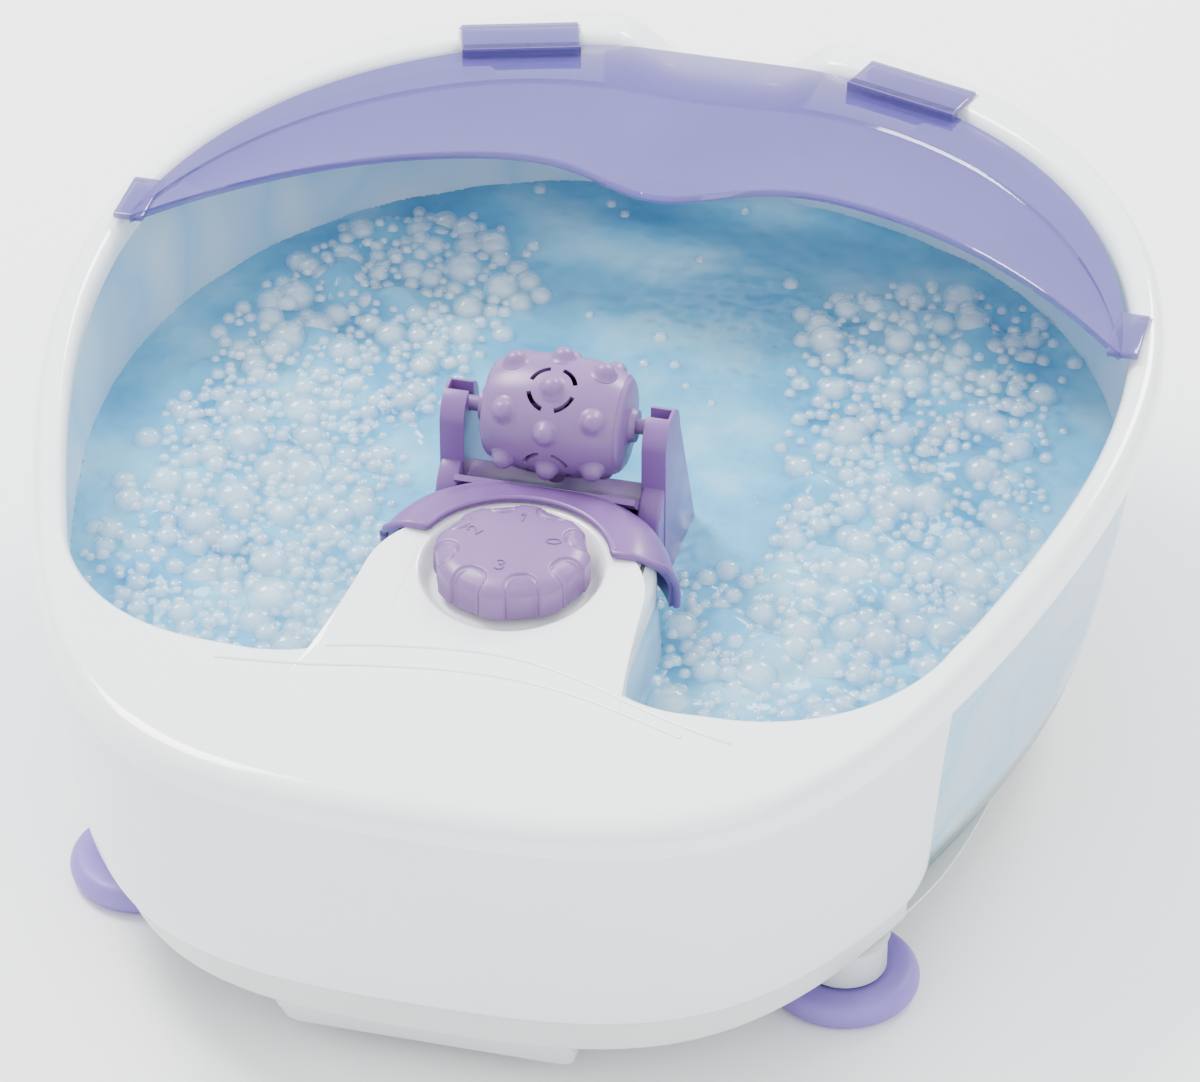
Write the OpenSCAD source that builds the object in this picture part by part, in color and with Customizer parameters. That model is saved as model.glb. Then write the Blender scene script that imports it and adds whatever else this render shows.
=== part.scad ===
// Foot spa basin: translucent tub with a white rim and control deck, a lift-off massage
// roller, a lift-off splash guard, and the blower, vibration motor and heater below.
// Millimetres. +Z is up, the control deck faces -Y, and the feet stand on Z = 0.

/* [Overall size] */
// Widest width over the rim
basin_w = 362; // [330:1:400]
// Length from the front of the deck to the back of the rim
basin_l = 432; // [400:1:460]
// Height of the rim's top at the back
rim_back_z = 143.8; // [138:0.1:150]
// Height of the deck's top at the front
rim_front_z = 121; // [116:0.1:126]
// Width of the rim at the sides
rim_w = 11.5; // [10:0.1:14]
// Wall of the moulded shells
wall = 2.5; // [2:0.1:3]

/* [Tub] */
// Underside of the tub's floor
floor_z = 36; // [32:0.5:40]
// Radius of the corner lobe at the toe end of each foot well
lobe_r = 62; // [52:1:64]
// Half width of the control tongue between the foot wells
tongue_half_w = 43; // [40:0.5:46]
// Front edge of the foot wells
toe_y = -146; // [-150:1:-142]
// Where the tongue's nose ends
nose_y = -44; // [-50:1:-40]
// How far the pouring spout dips below the rim
spout_dip = 14; // [8:1:18]

/* [Control knob] */
// Distance of the knob's axis in front of the centre
knob_y = -88; // [-92:1:-84]
// Radius of the knob
knob_r = 24.7; // [22:0.1:26]
// Radius of the dished recess round the knob
recess_r = 28.7; // [27.5:0.1:30]
// Height of the knob above the deck
knob_h = 10.5; // [8:0.5:12]

/* [Massage roller] */
// Height of the roller's axle
roller_z = 138; // [136:1:142]
// Where the roller's axle sits front to back
roller_y = -29; // [-31:1:-26]
// Radius of the roller at its middle
roller_r = 19.3; // [17:0.1:20]
// Half length of the roller
roller_half_l = 23; // [20:0.5:24]
// Radius of the axle
axle_r = 2.5; // [2:0.1:3]

/* [Feet] */
// Radius of a foot disc
foot_r = 24; // [20:0.5:26]
// Thickness of a foot disc
foot_h = 9.5; // [8:0.5:11]
// Radius of the posts that the feet sit on
post_r = 13.5; // [11:0.5:14]

/* [Hidden] */
$fn = 64;

// ---- Plan outlines -------------------------------------------------------------------
half_w = basin_w / 2;
mid_y = 30;                              // the rim is widest here
front_l = basin_l / 2 + mid_y;
rear_l = basin_l / 2 - mid_y;
in_half_w = half_w - rim_w;
in_front_l = front_l - 12;
in_rear_l = rear_l - 20;                 // the rim widens towards the spout
side_phi = -31;                          // the side ends and the toe lobe begins here

function clamp01(t) = min(1, max(0, t));
function ease(t) = clamp01(t) * clamp01(t) * (3 - 2 * clamp01(t));
function mix(a, b, t) = a + (b - a) * t;
function soft_ramp(x, w) = w * ln(1 + exp(x / w));
function span(a, b, n) = [for (i = [0 : n - 1]) mix(a, b, i / n)];
function unit(v) = v / norm(v);
function left_of(v) = [-v.y, v.x];
function cross2(a, b) = a.x * b.y - a.y * b.x;
function mirrored(p) = [-p.x, p.y];

// Exponent of the outline: elliptical at the sides, squarer at the front
function egg_n(phi) = let (s = abs(sin(phi)))
    phi > 0 ? 2 + 0.15 * s : 2 - 0.9 * s + 1.65 * s * s;
function egg(a, front, rear, phi) = let (n = egg_n(phi), b = phi > 0 ? rear : front)
    [a * pow(max(0, cos(phi)), 2 / n), mid_y + sign(sin(phi)) * b * pow(abs(sin(phi)), 2 / n)];
function outer_pt(phi, inset = 0) = egg(half_w - inset, front_l - inset, rear_l - inset, phi);
function inner_pt(phi) = egg(in_half_w, in_front_l, in_rear_l, phi);

// Where two lines meet
function meet(p, d, q, e) = p + d * (cross2(q - p, e) / cross2(d, e));
// Points of the round that replaces corner v of the path a, v, b; the last point is left out
function round_corner(a, v, b, r, n) = let (d1 = unit(a - v), d2 = unit(b - v),
    half = acos(d1 * d2) / 2, mid = unit(d1 + d2), c = v + mid * (r / sin(half)),
    p0 = v + d1 * (r / tan(half)) - c, p1 = v + d2 * (r / tan(half)) - c,
    sweep = (180 - 2 * half) * sign(cross2(p0, p1)))
    [for (i = [0 : n - 1]) let (t = sweep * i / (n - 1))
        c + [p0.x * cos(t) - p0.y * sin(t), p0.x * sin(t) + p0.y * cos(t)]];

// The right half of the well's edge, from the spout round to the tongue's nose
side_n = 24;
bridge_n = 2;
lobe_n = 12;
fillet_n = 8;
fillet_r = 24;
nose_n = 8;
side_end = inner_pt(side_phi);
side_dir = unit(inner_pt(side_phi) - inner_pt(side_phi + 0.5));
toe_corner = meet(side_end, side_dir, [0, toe_y], [1, 0]);
root_corner = [tongue_half_w, toe_y];
lobe_start = side_end + side_dir * (norm(toe_corner - side_end) - 48);
nose_corner = [tongue_half_w, nose_y];
nose_mid = [0, nose_y];
well_half = concat([for (phi = span(90, side_phi, side_n)) inner_pt(phi)],
    [for (t = [0 : bridge_n - 1]) mix(side_end, lobe_start, t / bridge_n)],
    round_corner(side_end, toe_corner, root_corner, lobe_r, lobe_n),
    round_corner(toe_corner, root_corner, nose_corner, fillet_r, fillet_n),
    round_corner(root_corner, nose_corner, nose_mid, 34, nose_n));
outer_phis = concat(span(90, side_phi, side_n), span(side_phi, -36, bridge_n),
    span(-36, -64, lobe_n), span(-66, -76, fillet_n), span(-79, -90, nose_n));
half_n = len(well_half);
ring_n = 2 * half_n;

function around(half, last) = concat(half, [last],
    [for (i = [half_n - 1 : -1 : 1]) mirrored(half[i])]);
well = around(well_half, nose_mid);
rim_outer = around([for (phi = outer_phis) outer_pt(phi)], outer_pt(-90));
// Normals point away from the water
well_normals = [for (i = [0 : ring_n - 1])
    -unit(left_of(well[(i + ring_n - 1) % ring_n] - well[(i + 1) % ring_n]))];
// 1 along the sides and back, falling to 0 round the toe lobes and the tongue
function side_weight(i) = ease((side_n + 10 - min(i, ring_n - i)) / 10);

// ---- Heights -------------------------------------------------------------------------
slope_front_y = -140;
slope_back_y = 100;
slope_soft = 20;
rim_slope = (rim_back_z - rim_front_z) / (slope_back_y - slope_front_y);
function spout(p) = p.y < 100 ? 0 : spout_dip * (1 - ease((abs(p.x) - 16) / 24));
function deck_dip(p) = 7 * ease((p.y + 190) / 70) * exp(-pow(p.x / 62, 2)) * (p.y > 0 ? 0 : 1);
function rim_z(p) = rim_front_z - spout(p) - deck_dip(p) + rim_slope
    * (soft_ramp(p.y - slope_front_y, slope_soft) - soft_ramp(p.y - slope_back_y, slope_soft));

// ---- Lofting -------------------------------------------------------------------------
// Solid between closed rings of n points each; the ends are capped, or joined when looped
module loft(rings, looped = false) {
    n = len(rings[0]);
    m = len(rings);
    sides = [for (k = [0 : (looped ? m - 1 : m - 2)]) for (i = [0 : n - 1])
        let (a = k * n + i, b = k * n + (i + 1) % n, up = ((k + 1) % m - k) * n)
        each [[a, b, b + up], [a, b + up, a + up]]];
    caps = looped ? [] : [[for (i = [n - 1 : -1 : 0]) i],
        [for (i = [0 : n - 1]) (m - 1) * n + i]];
    polyhedron([for (r = rings) each r], concat(sides, caps));
}

// Round tube of radius r along a path of points
module tube(path, r, sides = 8) {
    last = len(path) - 1;
    loft([for (k = [0 : last]) let (d = unit(path[min(last, k + 1)] - path[max(0, k - 1)]),
        u = unit(cross(d, abs(d.z) < 0.8 ? [0, 0, 1] : [1, 0, 0])), w = cross(d, u))
        [for (j = [0 : sides - 1]) path[k] + r * (cos(360 * j / sides) * u
            - sin(360 * j / sides) * w)]]);
}

// A smooth path through the given points, step points per leg
function spline_pt(a, b, c, d, t) = 0.5 * (2 * b + (c - a) * t
    + (2 * a - 5 * b + 4 * c - d) * t * t + (3 * b - a - 3 * c + d) * t * t * t);
function spline(p, step) = let (last = len(p) - 1) concat([for (k = [0 : last - 1])
    for (j = [0 : step - 1]) spline_pt(p[max(0, k - 1)], p[k], p[k + 1],
        p[min(last, k + 2)], j / step)], [p[last]]);

module at_mirror_x() {
    children();
    mirror([1, 0, 0]) children();
}

module ring_of(r_out, r_in, h) {
    difference() {
        cylinder(r = r_out, h = h);
        translate([0, 0, -1]) cylinder(r = r_in, h = h + 2);
    }
}

// ---- Top cover: rim, control deck and tongue -----------------------------------------
lip = 11;                                // depth of the outer lip below the top
inner_lip = 9;
deck_at_knob = rim_z([0, knob_y]);
recess_depth = 5;
shaft_r = 3;
shaft_fit = 0.05;

// Ring at distance d from the outer edge (or from the well, when negative), down below the top
function cover_ring(d, down) = [for (i = [0 : ring_n - 1])
    let (o = rim_outer[i], w = well[i], l = norm(w - o), t = d >= 0 ? d / l : 1 + d / l,
        p = mix(o, w, t), q = mix(o, w, clamp01(t)))
    [p.x, p.y, rim_z(q) - down]];
function cover_mid(f, down) = [for (i = [0 : ring_n - 1])
    let (o = rim_outer[i], w = well[i], l = norm(w - o), t = mix(5.4 / l, 1 - 4.8 / l, f),
        p = mix(o, w, t))
    [p.x, p.y, rim_z(p) - down]];

module cover_shell() {
    loft([cover_ring(0, lip), cover_ring(0, 6), cover_ring(0.7, 3.4), cover_ring(2.4, 1.1),
        cover_ring(5.4, 0), cover_mid(0.33, 0), cover_mid(0.66, 0), cover_ring(-4.8, 0),
        cover_ring(-2.1, 0.9), cover_ring(-0.6, 2.7), cover_ring(-0.001, 5.2),
        cover_ring(-0.001, inner_lip), cover_ring(-2.2, inner_lip), cover_ring(-2.3, 3.8),
        cover_ring(-2.9, wall), cover_mid(0.66, wall), cover_mid(0.33, wall),
        cover_ring(5.5, wall), cover_ring(2.3, 6), cover_ring(2.2, lip)], looped = true);
}

module knob_recess() {
    translate([0, knob_y, deck_at_knob]) rotate_extrude() polygon([
        [shaft_r + shaft_fit, -recess_depth - 2], [recess_r - 4, -recess_depth - 2],
        [recess_r + 1.8, -2.2], [recess_r + 1.8, -0.2], [recess_r, -0.2],
        [recess_r - 3.5, -recess_depth], [shaft_r + shaft_fit, -recess_depth]]);
}

// Shallow seats in the rim for the splash guard's four tabs
module guard_seats() {
    at_mirror_x() {
        translate([70, 185.5, rim_back_z - 0.8]) rotate([0, 0, -17])
            translate([-21, -12, 0]) cube([42, 18.5, 12]);
        translate([163, 43.4, 139.2]) cube([10, 25.2, 12]);
    }
}

module top_cover() {
    color("white") union() {
        difference() {
            cover_shell();
            translate([0, knob_y, deck_at_knob - 10]) cylinder(r = recess_r + 0.6, h = 20);
            guard_seats();
        }
        knob_recess();
    }
}

// ---- Tub -----------------------------------------------------------------------------
apron_z = 24.5;
tub_drop = 4;                            // the tub's edge stops this far below the rim's top
well_floor_z = floor_z + wall;
shoulder_s = 0.93;
// How far the outer wall stands outside the well's edge, from the bottom (0) to the top (1)
function tub_bulge(i, s) = s > shoulder_s ? 6
    : mix(-5 + 8.4 * s, -12 + 21 * pow(s, 0.65), side_weight(i));
function tub_ring(s, inset) = [for (i = [0 : ring_n - 1])
    let (p = well[i], q = p + well_normals[i] * (tub_bulge(i, s) - inset))
    [q.x, q.y, mix(apron_z, rim_z(p) - tub_drop, s)]];
function tub_flat(s, inset, z) = [for (p = tub_ring(s, inset)) [p.x, p.y, z]];

module tub_shell() {
    loft([tub_flat(0.1, wall, floor_z), tub_flat(0, wall, apron_z),
        tub_flat(0, 0, apron_z), tub_ring(0.1, 0), tub_ring(0.22, 0), tub_ring(0.36, 0),
        tub_ring(0.52, 0), tub_ring(0.7, 0), tub_ring(0.86, 0), tub_ring(shoulder_s, 0),
        tub_ring(shoulder_s + 0.005, 0), tub_ring(1, 0), tub_ring(1, wall + 0.4),
        tub_ring(shoulder_s + 0.01, wall + 0.4), tub_ring(0.88, wall + 0.2),
        tub_ring(0.7, wall), tub_ring(0.52, wall), tub_ring(0.36, wall),
        tub_ring(0.24, wall + 0.4), tub_flat(0.2, wall + 3, well_floor_z + 4.5),
        tub_flat(0.18, wall + 6.5, well_floor_z + 1.4), tub_flat(0.16, wall + 11, well_floor_z)]);
}

module tub() {
    color([0.62, 0.76, 0.88, 0.6]) difference() {
        union() {
            tub_shell();
            at_mirror_x() translate([boss_rear.x, boss_rear.y, tray_z + wall + 0.1])
                cylinder(r = 4, h = floor_z - tray_z - wall + 0.9);
        }
        at_mirror_x() translate([inlet.x, inlet.y, floor_z - 5]) cylinder(r = inlet_r, h = 15);
        at_mirror_x() translate([boss_rear.x, boss_rear.y, 0]) cylinder(r = screw_r, h = floor_z);
        // The apron is left out round the tongue, where the hoses and leads pass
        translate([-76, -160, apron_z - 1]) cube([152, 140, floor_z - apron_z + 0.6]);
    }
}

gasket_h = 0.8;
module rim_gasket() {
    color("dimgray") loft([for (c = [[0, 0], [0, gasket_h], [wall + 0.4, gasket_h],
        [wall + 0.4, 0]]) [for (p = tub_ring(1, c[0])) [p.x, p.y, p.z + c[1] + 0.02]]],
        looped = true);
}

// ---- Front skirt ---------------------------------------------------------------------
skirt_phi = 36;                          // the skirt ends this far round from the side
skirt_bottom_z = 40;
skirt_wall = 2.2;
skirt_n = 48;
skirt_gap = 0.3;
function skirt_phis() = [for (i = [0 : skirt_n]) mix(-skirt_phi, skirt_phi - 180, i / skirt_n)];
// Outline point right round the front, for phi from -skirt_phi to skirt_phi - 180
function front_pt(phi, inset) = phi >= -90 ? outer_pt(phi, inset)
    : mirrored(outer_pt(-180 - phi, inset));
function skirt_pt(phi, inset, f) = let (p = front_pt(phi, inset), top = front_pt(phi, 0))
    [p.x, p.y, mix(skirt_bottom_z, rim_z(top) - lip - skirt_gap, f)];
skirt_profile = [[8.6 + skirt_wall, 0], [6.6 + skirt_wall, 0.3], [4.2 + skirt_wall, 0.62],
    [0.5 + skirt_wall, 1], [0.5, 1], [4.2, 0.62], [6.6, 0.3], [8.6, 0]];

// Boss for a base screw, with a rib that runs from it over the tray's wall to the skirt
module skirt_boss(spot, reach) {
    difference() {
        union() {
            translate([spot.x, spot.y, tray_z + wall + 0.1]) cylinder(r = 4, h = 25);
            translate([spot.x, spot.y, tray_top_z + 0.6]) rotate([0, 0, atan2(reach.y, reach.x)])
                translate([0, -1.5, 0]) cube([norm(reach), 3, 5]);
        }
        translate([spot.x, spot.y, 0]) cylinder(r = screw_r, h = 45);
    }
}

module front_skirt() {
    color("whitesmoke") union() {
        loft([for (phi = skirt_phis()) [for (c = skirt_profile) skirt_pt(phi, c[0], c[1])]]);
        for (s = [-1, 1]) {
            skirt_boss([s * boss_side.x, boss_side.y], [s * 13.6, -8.2]);
            skirt_boss([s * boss_front.x, boss_front.y], [0, -15.8]);
        }
    }
}

// ---- Base tray with foot posts and front ledge ---------------------------------------
tray_z = 22;
tray_top_z = 44;
tray_inset_front = 17;
tray_inset_rear = 25.5;
tray_lean = 4;                           // the front wall stands out by half of this
feet = [[-115, -119], [115, -119], [-92, 118], [92, 118]];
ledge_half_w = 47;
ledge_z = 8;
screw_r = 1.5;
screw_hole_r = 1.6;
boss_side = [104, -148];
boss_front = [34, -190];
boss_rear = [120, 60];
boss_spots = [for (b = [boss_side, boss_front, boss_rear]) each [b, mirrored(b)]];
gland_spot = [-84, -164];
gland_r = 6;

function tray_inset(phi) = mix(tray_inset_rear, tray_inset_front, ease((-phi - 14) / 20));
tray_half = [for (phi = [90 : -3 : -90]) outer_pt(phi, tray_inset(phi))];

// Front view of the ledge, with rounded lower ends
ledge_round = 12;
ledge_front = concat([for (t = [0 : 15 : 90]) [ledge_half_w - ledge_round + ledge_round * sin(t),
    ledge_z + ledge_round - ledge_round * cos(t)]], [[ledge_half_w, tray_z + 0.5]]);

module ledge() {
    intersection() {
        translate([0, -140, 0]) rotate([90, 0, 0]) linear_extrude(60) polygon(concat(ledge_front,
            [for (i = [len(ledge_front) - 1 : -1 : 0]) mirrored(ledge_front[i])]));
        rotate([90, 0, 90]) translate([0, 0, -60]) linear_extrude(120)
            polygon([[-196.5, 23], [-189, ledge_z + 1.5], [-187, ledge_z], [-160, ledge_z],
                [-152, 23]]);
    }
}

module tray_plan(inset) {
    polygon([for (i = [0 : skirt_n]) front_pt(mix(-skirt_phi, skirt_phi - 180, i / skirt_n), inset)]);
}

// Upright front wall behind the skirt
module tray_wall() {
    translate([0, 0, tray_z + 1]) linear_extrude(tray_top_z - tray_z - 1) difference() {
        tray_plan(tray_inset_front - tray_lean / 2);
        tray_plan(tray_inset_front - tray_lean / 2 + wall);
        translate([-200, -124]) square([400, 200]);
    }
}

module base_tray() {
    color("lightgray") difference() {
        union() {
            translate([0, 0, tray_z]) linear_extrude(wall)
                polygon(concat(tray_half, [for (i = [len(tray_half) - 2 : -1 : 1])
                    mirrored(tray_half[i])]));
            tray_wall();
            ledge();
            for (f = feet) translate([f.x, f.y, foot_h]) cylinder(r = post_r, h = tray_z - foot_h);
        }
        for (f = feet) translate([f.x, f.y, 0]) cylinder(r = screw_hole_r, h = tray_z);
        for (b = boss_spots) translate([b.x, b.y, 0]) {
            cylinder(r = screw_hole_r + 0.2, h = 40);
            cylinder(r = 3.8, h = tray_z);
        }
        translate([gland_spot.x, gland_spot.y, 0]) cylinder(r = gland_r, h = 40);
    }
}

module cord_gland() {
    color("dimgray") translate([gland_spot.x, gland_spot.y, tray_z - 2]) difference() {
        union() {
            cylinder(r = gland_r, h = wall + 4);
            cylinder(r = gland_r + 2.5, h = 2);
            translate([0, 0, wall + 2]) cylinder(r = gland_r + 2, h = 3);
        }
        translate([0, 0, -1]) cylinder(r = 3.4, h = 20);
    }
}

// ---- Feet and fasteners --------------------------------------------------------------
module foot(spot) {
    color("mediumpurple") translate([spot.x, spot.y, 0]) rotate_extrude() polygon(concat(
        [[2.2, 3.8], [5.5, 3.8], [5.5, 1.2], [8, 0], [foot_r - 3, 0]],
        [for (t = [-75 : 15 : 75]) [foot_r - 4 + 4 * cos(t), foot_h / 2 + (foot_h / 2) * sin(t)]],
        [[foot_r - 4, foot_h], [2.2, foot_h]]));
}

module foot_front_left() { foot(feet[0]); }
module foot_front_right() { foot(feet[1]); }
module foot_rear_left() { foot(feet[2]); }
module foot_rear_right() { foot(feet[3]); }

// Pan-head screw pointing up, with its head's underside at z = 0
module screw(length) {
    translate([0, 0, -2.2]) difference() {
        cylinder(r = 3.4, h = 2.2);
        translate([-2.2, -0.4, -1]) cube([4.4, 0.8, 2]);
        translate([-0.4, -2.2, -1]) cube([0.8, 4.4, 2]);
    }
    cylinder(r = screw_r, h = length);
}

module foot_screws() {
    color("silver") for (f = feet) translate([f.x, f.y, 3.8]) screw(16);
}

module base_screws() {
    color("silver") for (b = boss_spots) translate([b.x, b.y, tray_z]) screw(2.4 + 9);
}

// ---- Splash guard --------------------------------------------------------------------
guard_z = 139.6;
guard_t = 2.4;
guard_gap = 2;
guard_tip_x = 166;
function guard_out(phi) = let (p = egg(in_half_w - guard_gap, in_front_l, in_rear_l - guard_gap,
    phi)) [p.x, min(p.y, 192)];
// Wavy front edge: a shallow crescent with a dip at the middle
function guard_in(x) = [x, 43 + 73 * (1 - pow(abs(x) / guard_tip_x, 2.6))
    - 19 * exp(-pow(x / 30, 2))];

// Tab that steps up from the plate and rests in a seat of the rear rim
module rear_tab() {
    translate([70, 185.5, 0]) rotate([0, 0, -17]) {
        translate([-20.5, -11.5, guard_z]) cube([41, 3.5, rim_back_z + 1.6 - guard_z]);
        translate([-20.5, -11.5, rim_back_z - 0.45]) cube([41, 17.5, 2.05]);
    }
}

module splash_guard() {
    color([0.55, 0.5, 0.85, 0.7]) union() {
        translate([0, 0, guard_z]) linear_extrude(guard_t) {
            polygon(concat([for (phi = [5 : 3 : 89]) guard_out(phi)],
                [for (phi = [89 : -3 : 5]) mirrored(guard_out(phi))],
                [for (k = [-24 : 24]) guard_in(guard_tip_x * k / 24)]));
            at_mirror_x() translate([162, 44]) square([10.5, 24]);
        }
        at_mirror_x() rear_tab();
    }
}

// ---- Knob and rotary switch ----------------------------------------------------------
knob_base_z = deck_at_knob - recess_depth + 0.4;
knob_top_z = deck_at_knob + knob_h;
switch_top_z = deck_at_knob - recess_depth - 2;
switch_h = 18;
switch_half = 14;
seal_h = 3;

module control_knob() {
    color("plum") translate([0, knob_y, 0]) difference() {
        rotate_extrude() polygon([[shaft_r, knob_base_z], [knob_r, knob_base_z],
            [knob_r, knob_top_z - 6], [knob_r - 1.2, knob_top_z - 3.2],
            [knob_r - 4.5, knob_top_z - 1.2], [knob_r - 9, knob_top_z - 0.3],
            [0, knob_top_z], [0, knob_top_z - 5], [shaft_r, knob_top_z - 5]]);
        for (k = [0 : 7]) rotate([0, 0, 45 * k + 22.5])
            translate([knob_r + 3.5, 0, knob_base_z - 1]) cylinder(r = 5, h = 8);
    }
}

module switch_shaft() {
    color("silver") translate([0, knob_y, switch_top_z - switch_h + 4])
        cylinder(r = shaft_r, h = knob_top_z - 5 - (switch_top_z - switch_h + 4));
}

module switch_body() {
    color("darkslategray") translate([0, knob_y, 0]) difference() {
        union() {
            translate([-switch_half, -switch_half, switch_top_z - switch_h - 3])
                cube([2 * switch_half, 2 * switch_half, switch_h - 2]);
            translate([0, 0, switch_top_z - 6]) cylinder(r = 6, h = 3);
        }
        translate([0, 0, switch_top_z - switch_h + 3.7])
            cylinder(r = shaft_r + shaft_fit, h = 40);
    }
}

module switch_bracket() {
    color("silver") translate([0, knob_y, switch_top_z - 5]) difference() {
        union() {
            translate([-20, -9, 0]) cube([40, 18, 1.5]);
            at_mirror_x() translate([18.5, -9, 0]) cube([1.5, 18, 4.4]);
            at_mirror_x() translate([18.5, -9, 3.6]) cube([6, 18, 1.4]);
        }
        translate([0, 0, -1]) cylinder(r = 6.05, h = 10);
    }
}

module switch_terminals() {
    color("gold") translate([0, knob_y, switch_top_z - switch_h - 10])
        for (x = [-9, -3, 3, 9]) for (y = [-8, 8])
            translate([x - 1.2, y - 0.4, 0]) cube([2.4, 0.8, 7]);
}

module shaft_seal() {
    color("dimgray") translate([0, knob_y, switch_top_z - seal_h])
        ring_of(8, shaft_r + shaft_fit, seal_h);
}

// ---- Roller and its stand ------------------------------------------------------------
arm_x0 = 29;
arm_t = 8;
stand_foot_z = well_floor_z + 0.3;
nub_r = 3.2;
head_drop = 3;                           // the arms' round heads sit this far below the axle
// Barrel: radius of the roller at distance x from its middle
function barrel(x) = roller_r - 4.6 * pow(abs(x) / roller_half_l, 2.6);
barrel_steps = 10;

// Turns children so that their Z axis lies along the axle
module on_axle() {
    translate([0, roller_y, roller_z]) rotate([0, 90, 0]) children();
}

module nub(x, angle) {
    rotate([0, 0, angle]) translate([-barrel(x) + 0.6, 0, x]) sphere(r = nub_r);
}

module roller_body() {
    color("plum") on_axle() difference() {
        union() {
            rotate_extrude() polygon(concat(
                [for (k = [-barrel_steps : barrel_steps])
                    let (x = (roller_half_l - 2) * k / barrel_steps) [barrel(x), x]],
                [for (k = [barrel_steps : -1 : -barrel_steps])
                    let (x = (roller_half_l - 2) * k / barrel_steps) [barrel(x) - 2, x]]));
            for (k = [0 : 7]) nub(0, 45 * k + 30);
            for (k = [0 : 5]) for (x = [-14.5, 14.5]) nub(x, 60 * k + 58);
        }
        rotate_extrude() polygon(concat([[0, -roller_half_l], [0, roller_half_l]],
            [for (k = [barrel_steps : -1 : -barrel_steps])
                let (x = (roller_half_l - 2) * k / barrel_steps) [barrel(x) - 2.2, x]]));
    }
}

module roller_cap() {
    on_axle() rotate_extrude() polygon([[axle_r, roller_half_l - 7], [axle_r + 2.5, roller_half_l - 7],
        [axle_r + 2.5, roller_half_l - 2], [barrel(roller_half_l - 2) - 0.3, roller_half_l - 1.98],
        [barrel(roller_half_l) - 2.5, roller_half_l - 0.5], [7, roller_half_l],
        [5, roller_half_l + 2.5], [axle_r, roller_half_l + 2.5]]);
}

module roller_cap_right() { color("plum") roller_cap(); }
module roller_cap_left() { color("plum") mirror([1, 0, 0]) roller_cap(); }

module roller_axle() {
    color("plum") on_axle() translate([0, 0, 1 - arm_x0 - arm_t])
        cylinder(r = axle_r, h = 2 * (arm_x0 + arm_t - 1));
}

module stand_arm() {
    difference() {
        translate([arm_x0, 0, 0]) rotate([90, 0, 90]) linear_extrude(arm_t) union() {
            translate([roller_y, roller_z - head_drop]) circle(r = 9.5);
            polygon([[roller_y - 9.5, roller_z - head_drop], [roller_y - 9.5, 54],
                [-22, stand_foot_z], [10, stand_foot_z], [4, 80],
                [roller_y + 9.5, roller_z - head_drop]]);
        }
        translate([0, roller_y, roller_z]) rotate([0, 90, 0])
            cylinder(r = axle_r + shaft_fit, h = 60);
        translate([0, roller_y - axle_r - shaft_fit, roller_z])
            cube([60, 2 * (axle_r + shaft_fit), 30]);
    }
}

// Plan of the saddle: the tongue's end, grown outwards
module tongue_end(grow) {
    translate([-tongue_half_w - grow, -66])
        square([2 * (tongue_half_w + grow), nose_y + 66 - 34 + 0.01]);
    intersection() {
        translate([-tongue_half_w - grow, nose_y - 34])
            square([2 * (tongue_half_w + grow), 34 + grow]);
        union() {
            for (s = [-1, 1]) translate([s * (tongue_half_w - 34), nose_y - 34])
                circle(r = 34 + grow);
            translate([-(tongue_half_w - 34), nose_y - 34])
                square([2 * (tongue_half_w - 34), 34 + grow]);
        }
    }
}

saddle_z = rim_z([0, -52]) + 1.2;
saddle_low_z = 97;
module saddle() {
    translate([0, 0, saddle_low_z]) linear_extrude(saddle_z + 2.4 - saddle_low_z) difference() {
        tongue_end(6.4);
        tongue_end(4);
        translate([-60, -80]) square([120, 16]);
    }
    translate([0, 0, saddle_z]) linear_extrude(2.4) difference() {
        tongue_end(6.4);
        translate([0, knob_y]) circle(r = recess_r + 3);
        translate([-60, -80]) square([120, 16]);
    }
}

// Ribs that tie the arms to the saddle's side walls
module saddle_ribs() {
    translate([0, 0, saddle_low_z]) linear_extrude(24) difference() {
        for (s = [-1, 1]) translate([s * (arm_x0 + arm_t / 2) - arm_t / 2, -62])
            square([arm_t, 25]);
        tongue_end(4.2);
    }
}

module roller_stand() {
    color("mediumorchid") union() {
        at_mirror_x() stand_arm();
        saddle_ribs();
        difference() {
            union() {
                saddle();
                translate([-arm_x0 - 0.1, roller_y - 8, 54])
                    cube([2 * arm_x0 + 0.2, wall, saddle_z - 54]);
            }
            // Trough under the roller
            on_axle() translate([0, 0, 0.5 - arm_x0]) cylinder(r = 24, h = 2 * arm_x0 - 1);
        }
        translate([-arm_x0 - 0.1, -20, stand_foot_z]) cube([2 * arm_x0 + 0.2, 26, 4]);
    }
}

// ---- Bubble plates -------------------------------------------------------------------
plate_x = 92;
plate_r = 28;
plate_t = 3;
plate_front_y = -90;
plate_rear_y = 78;

module bubble_plate() {
    translate([plate_x, 0, well_floor_z]) difference() {
        union() {
            linear_extrude(plate_t) {
                translate([0, plate_front_y]) circle(r = plate_r);
                translate([0, plate_rear_y]) circle(r = plate_r);
                translate([-plate_r, plate_front_y])
                    square([2 * plate_r, plate_rear_y - plate_front_y]);
            }
            for (r = [0 : 6]) for (c = [-1 : 1])
                translate([18 * c, -100 + 31 * r, plate_t - 0.5]) cylinder(r = 3, h = 3.5);
        }
        for (r = [0 : 5]) for (c = [-1, 1])
            translate([9 * c, -84 + 31 * r, -1]) cylinder(r = 1.3, h = 8);
    }
}

module bubble_plate_right() { color("lightblue") bubble_plate(); }
module bubble_plate_left() { color("lightblue") mirror([1, 0, 0]) bubble_plate(); }

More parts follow.
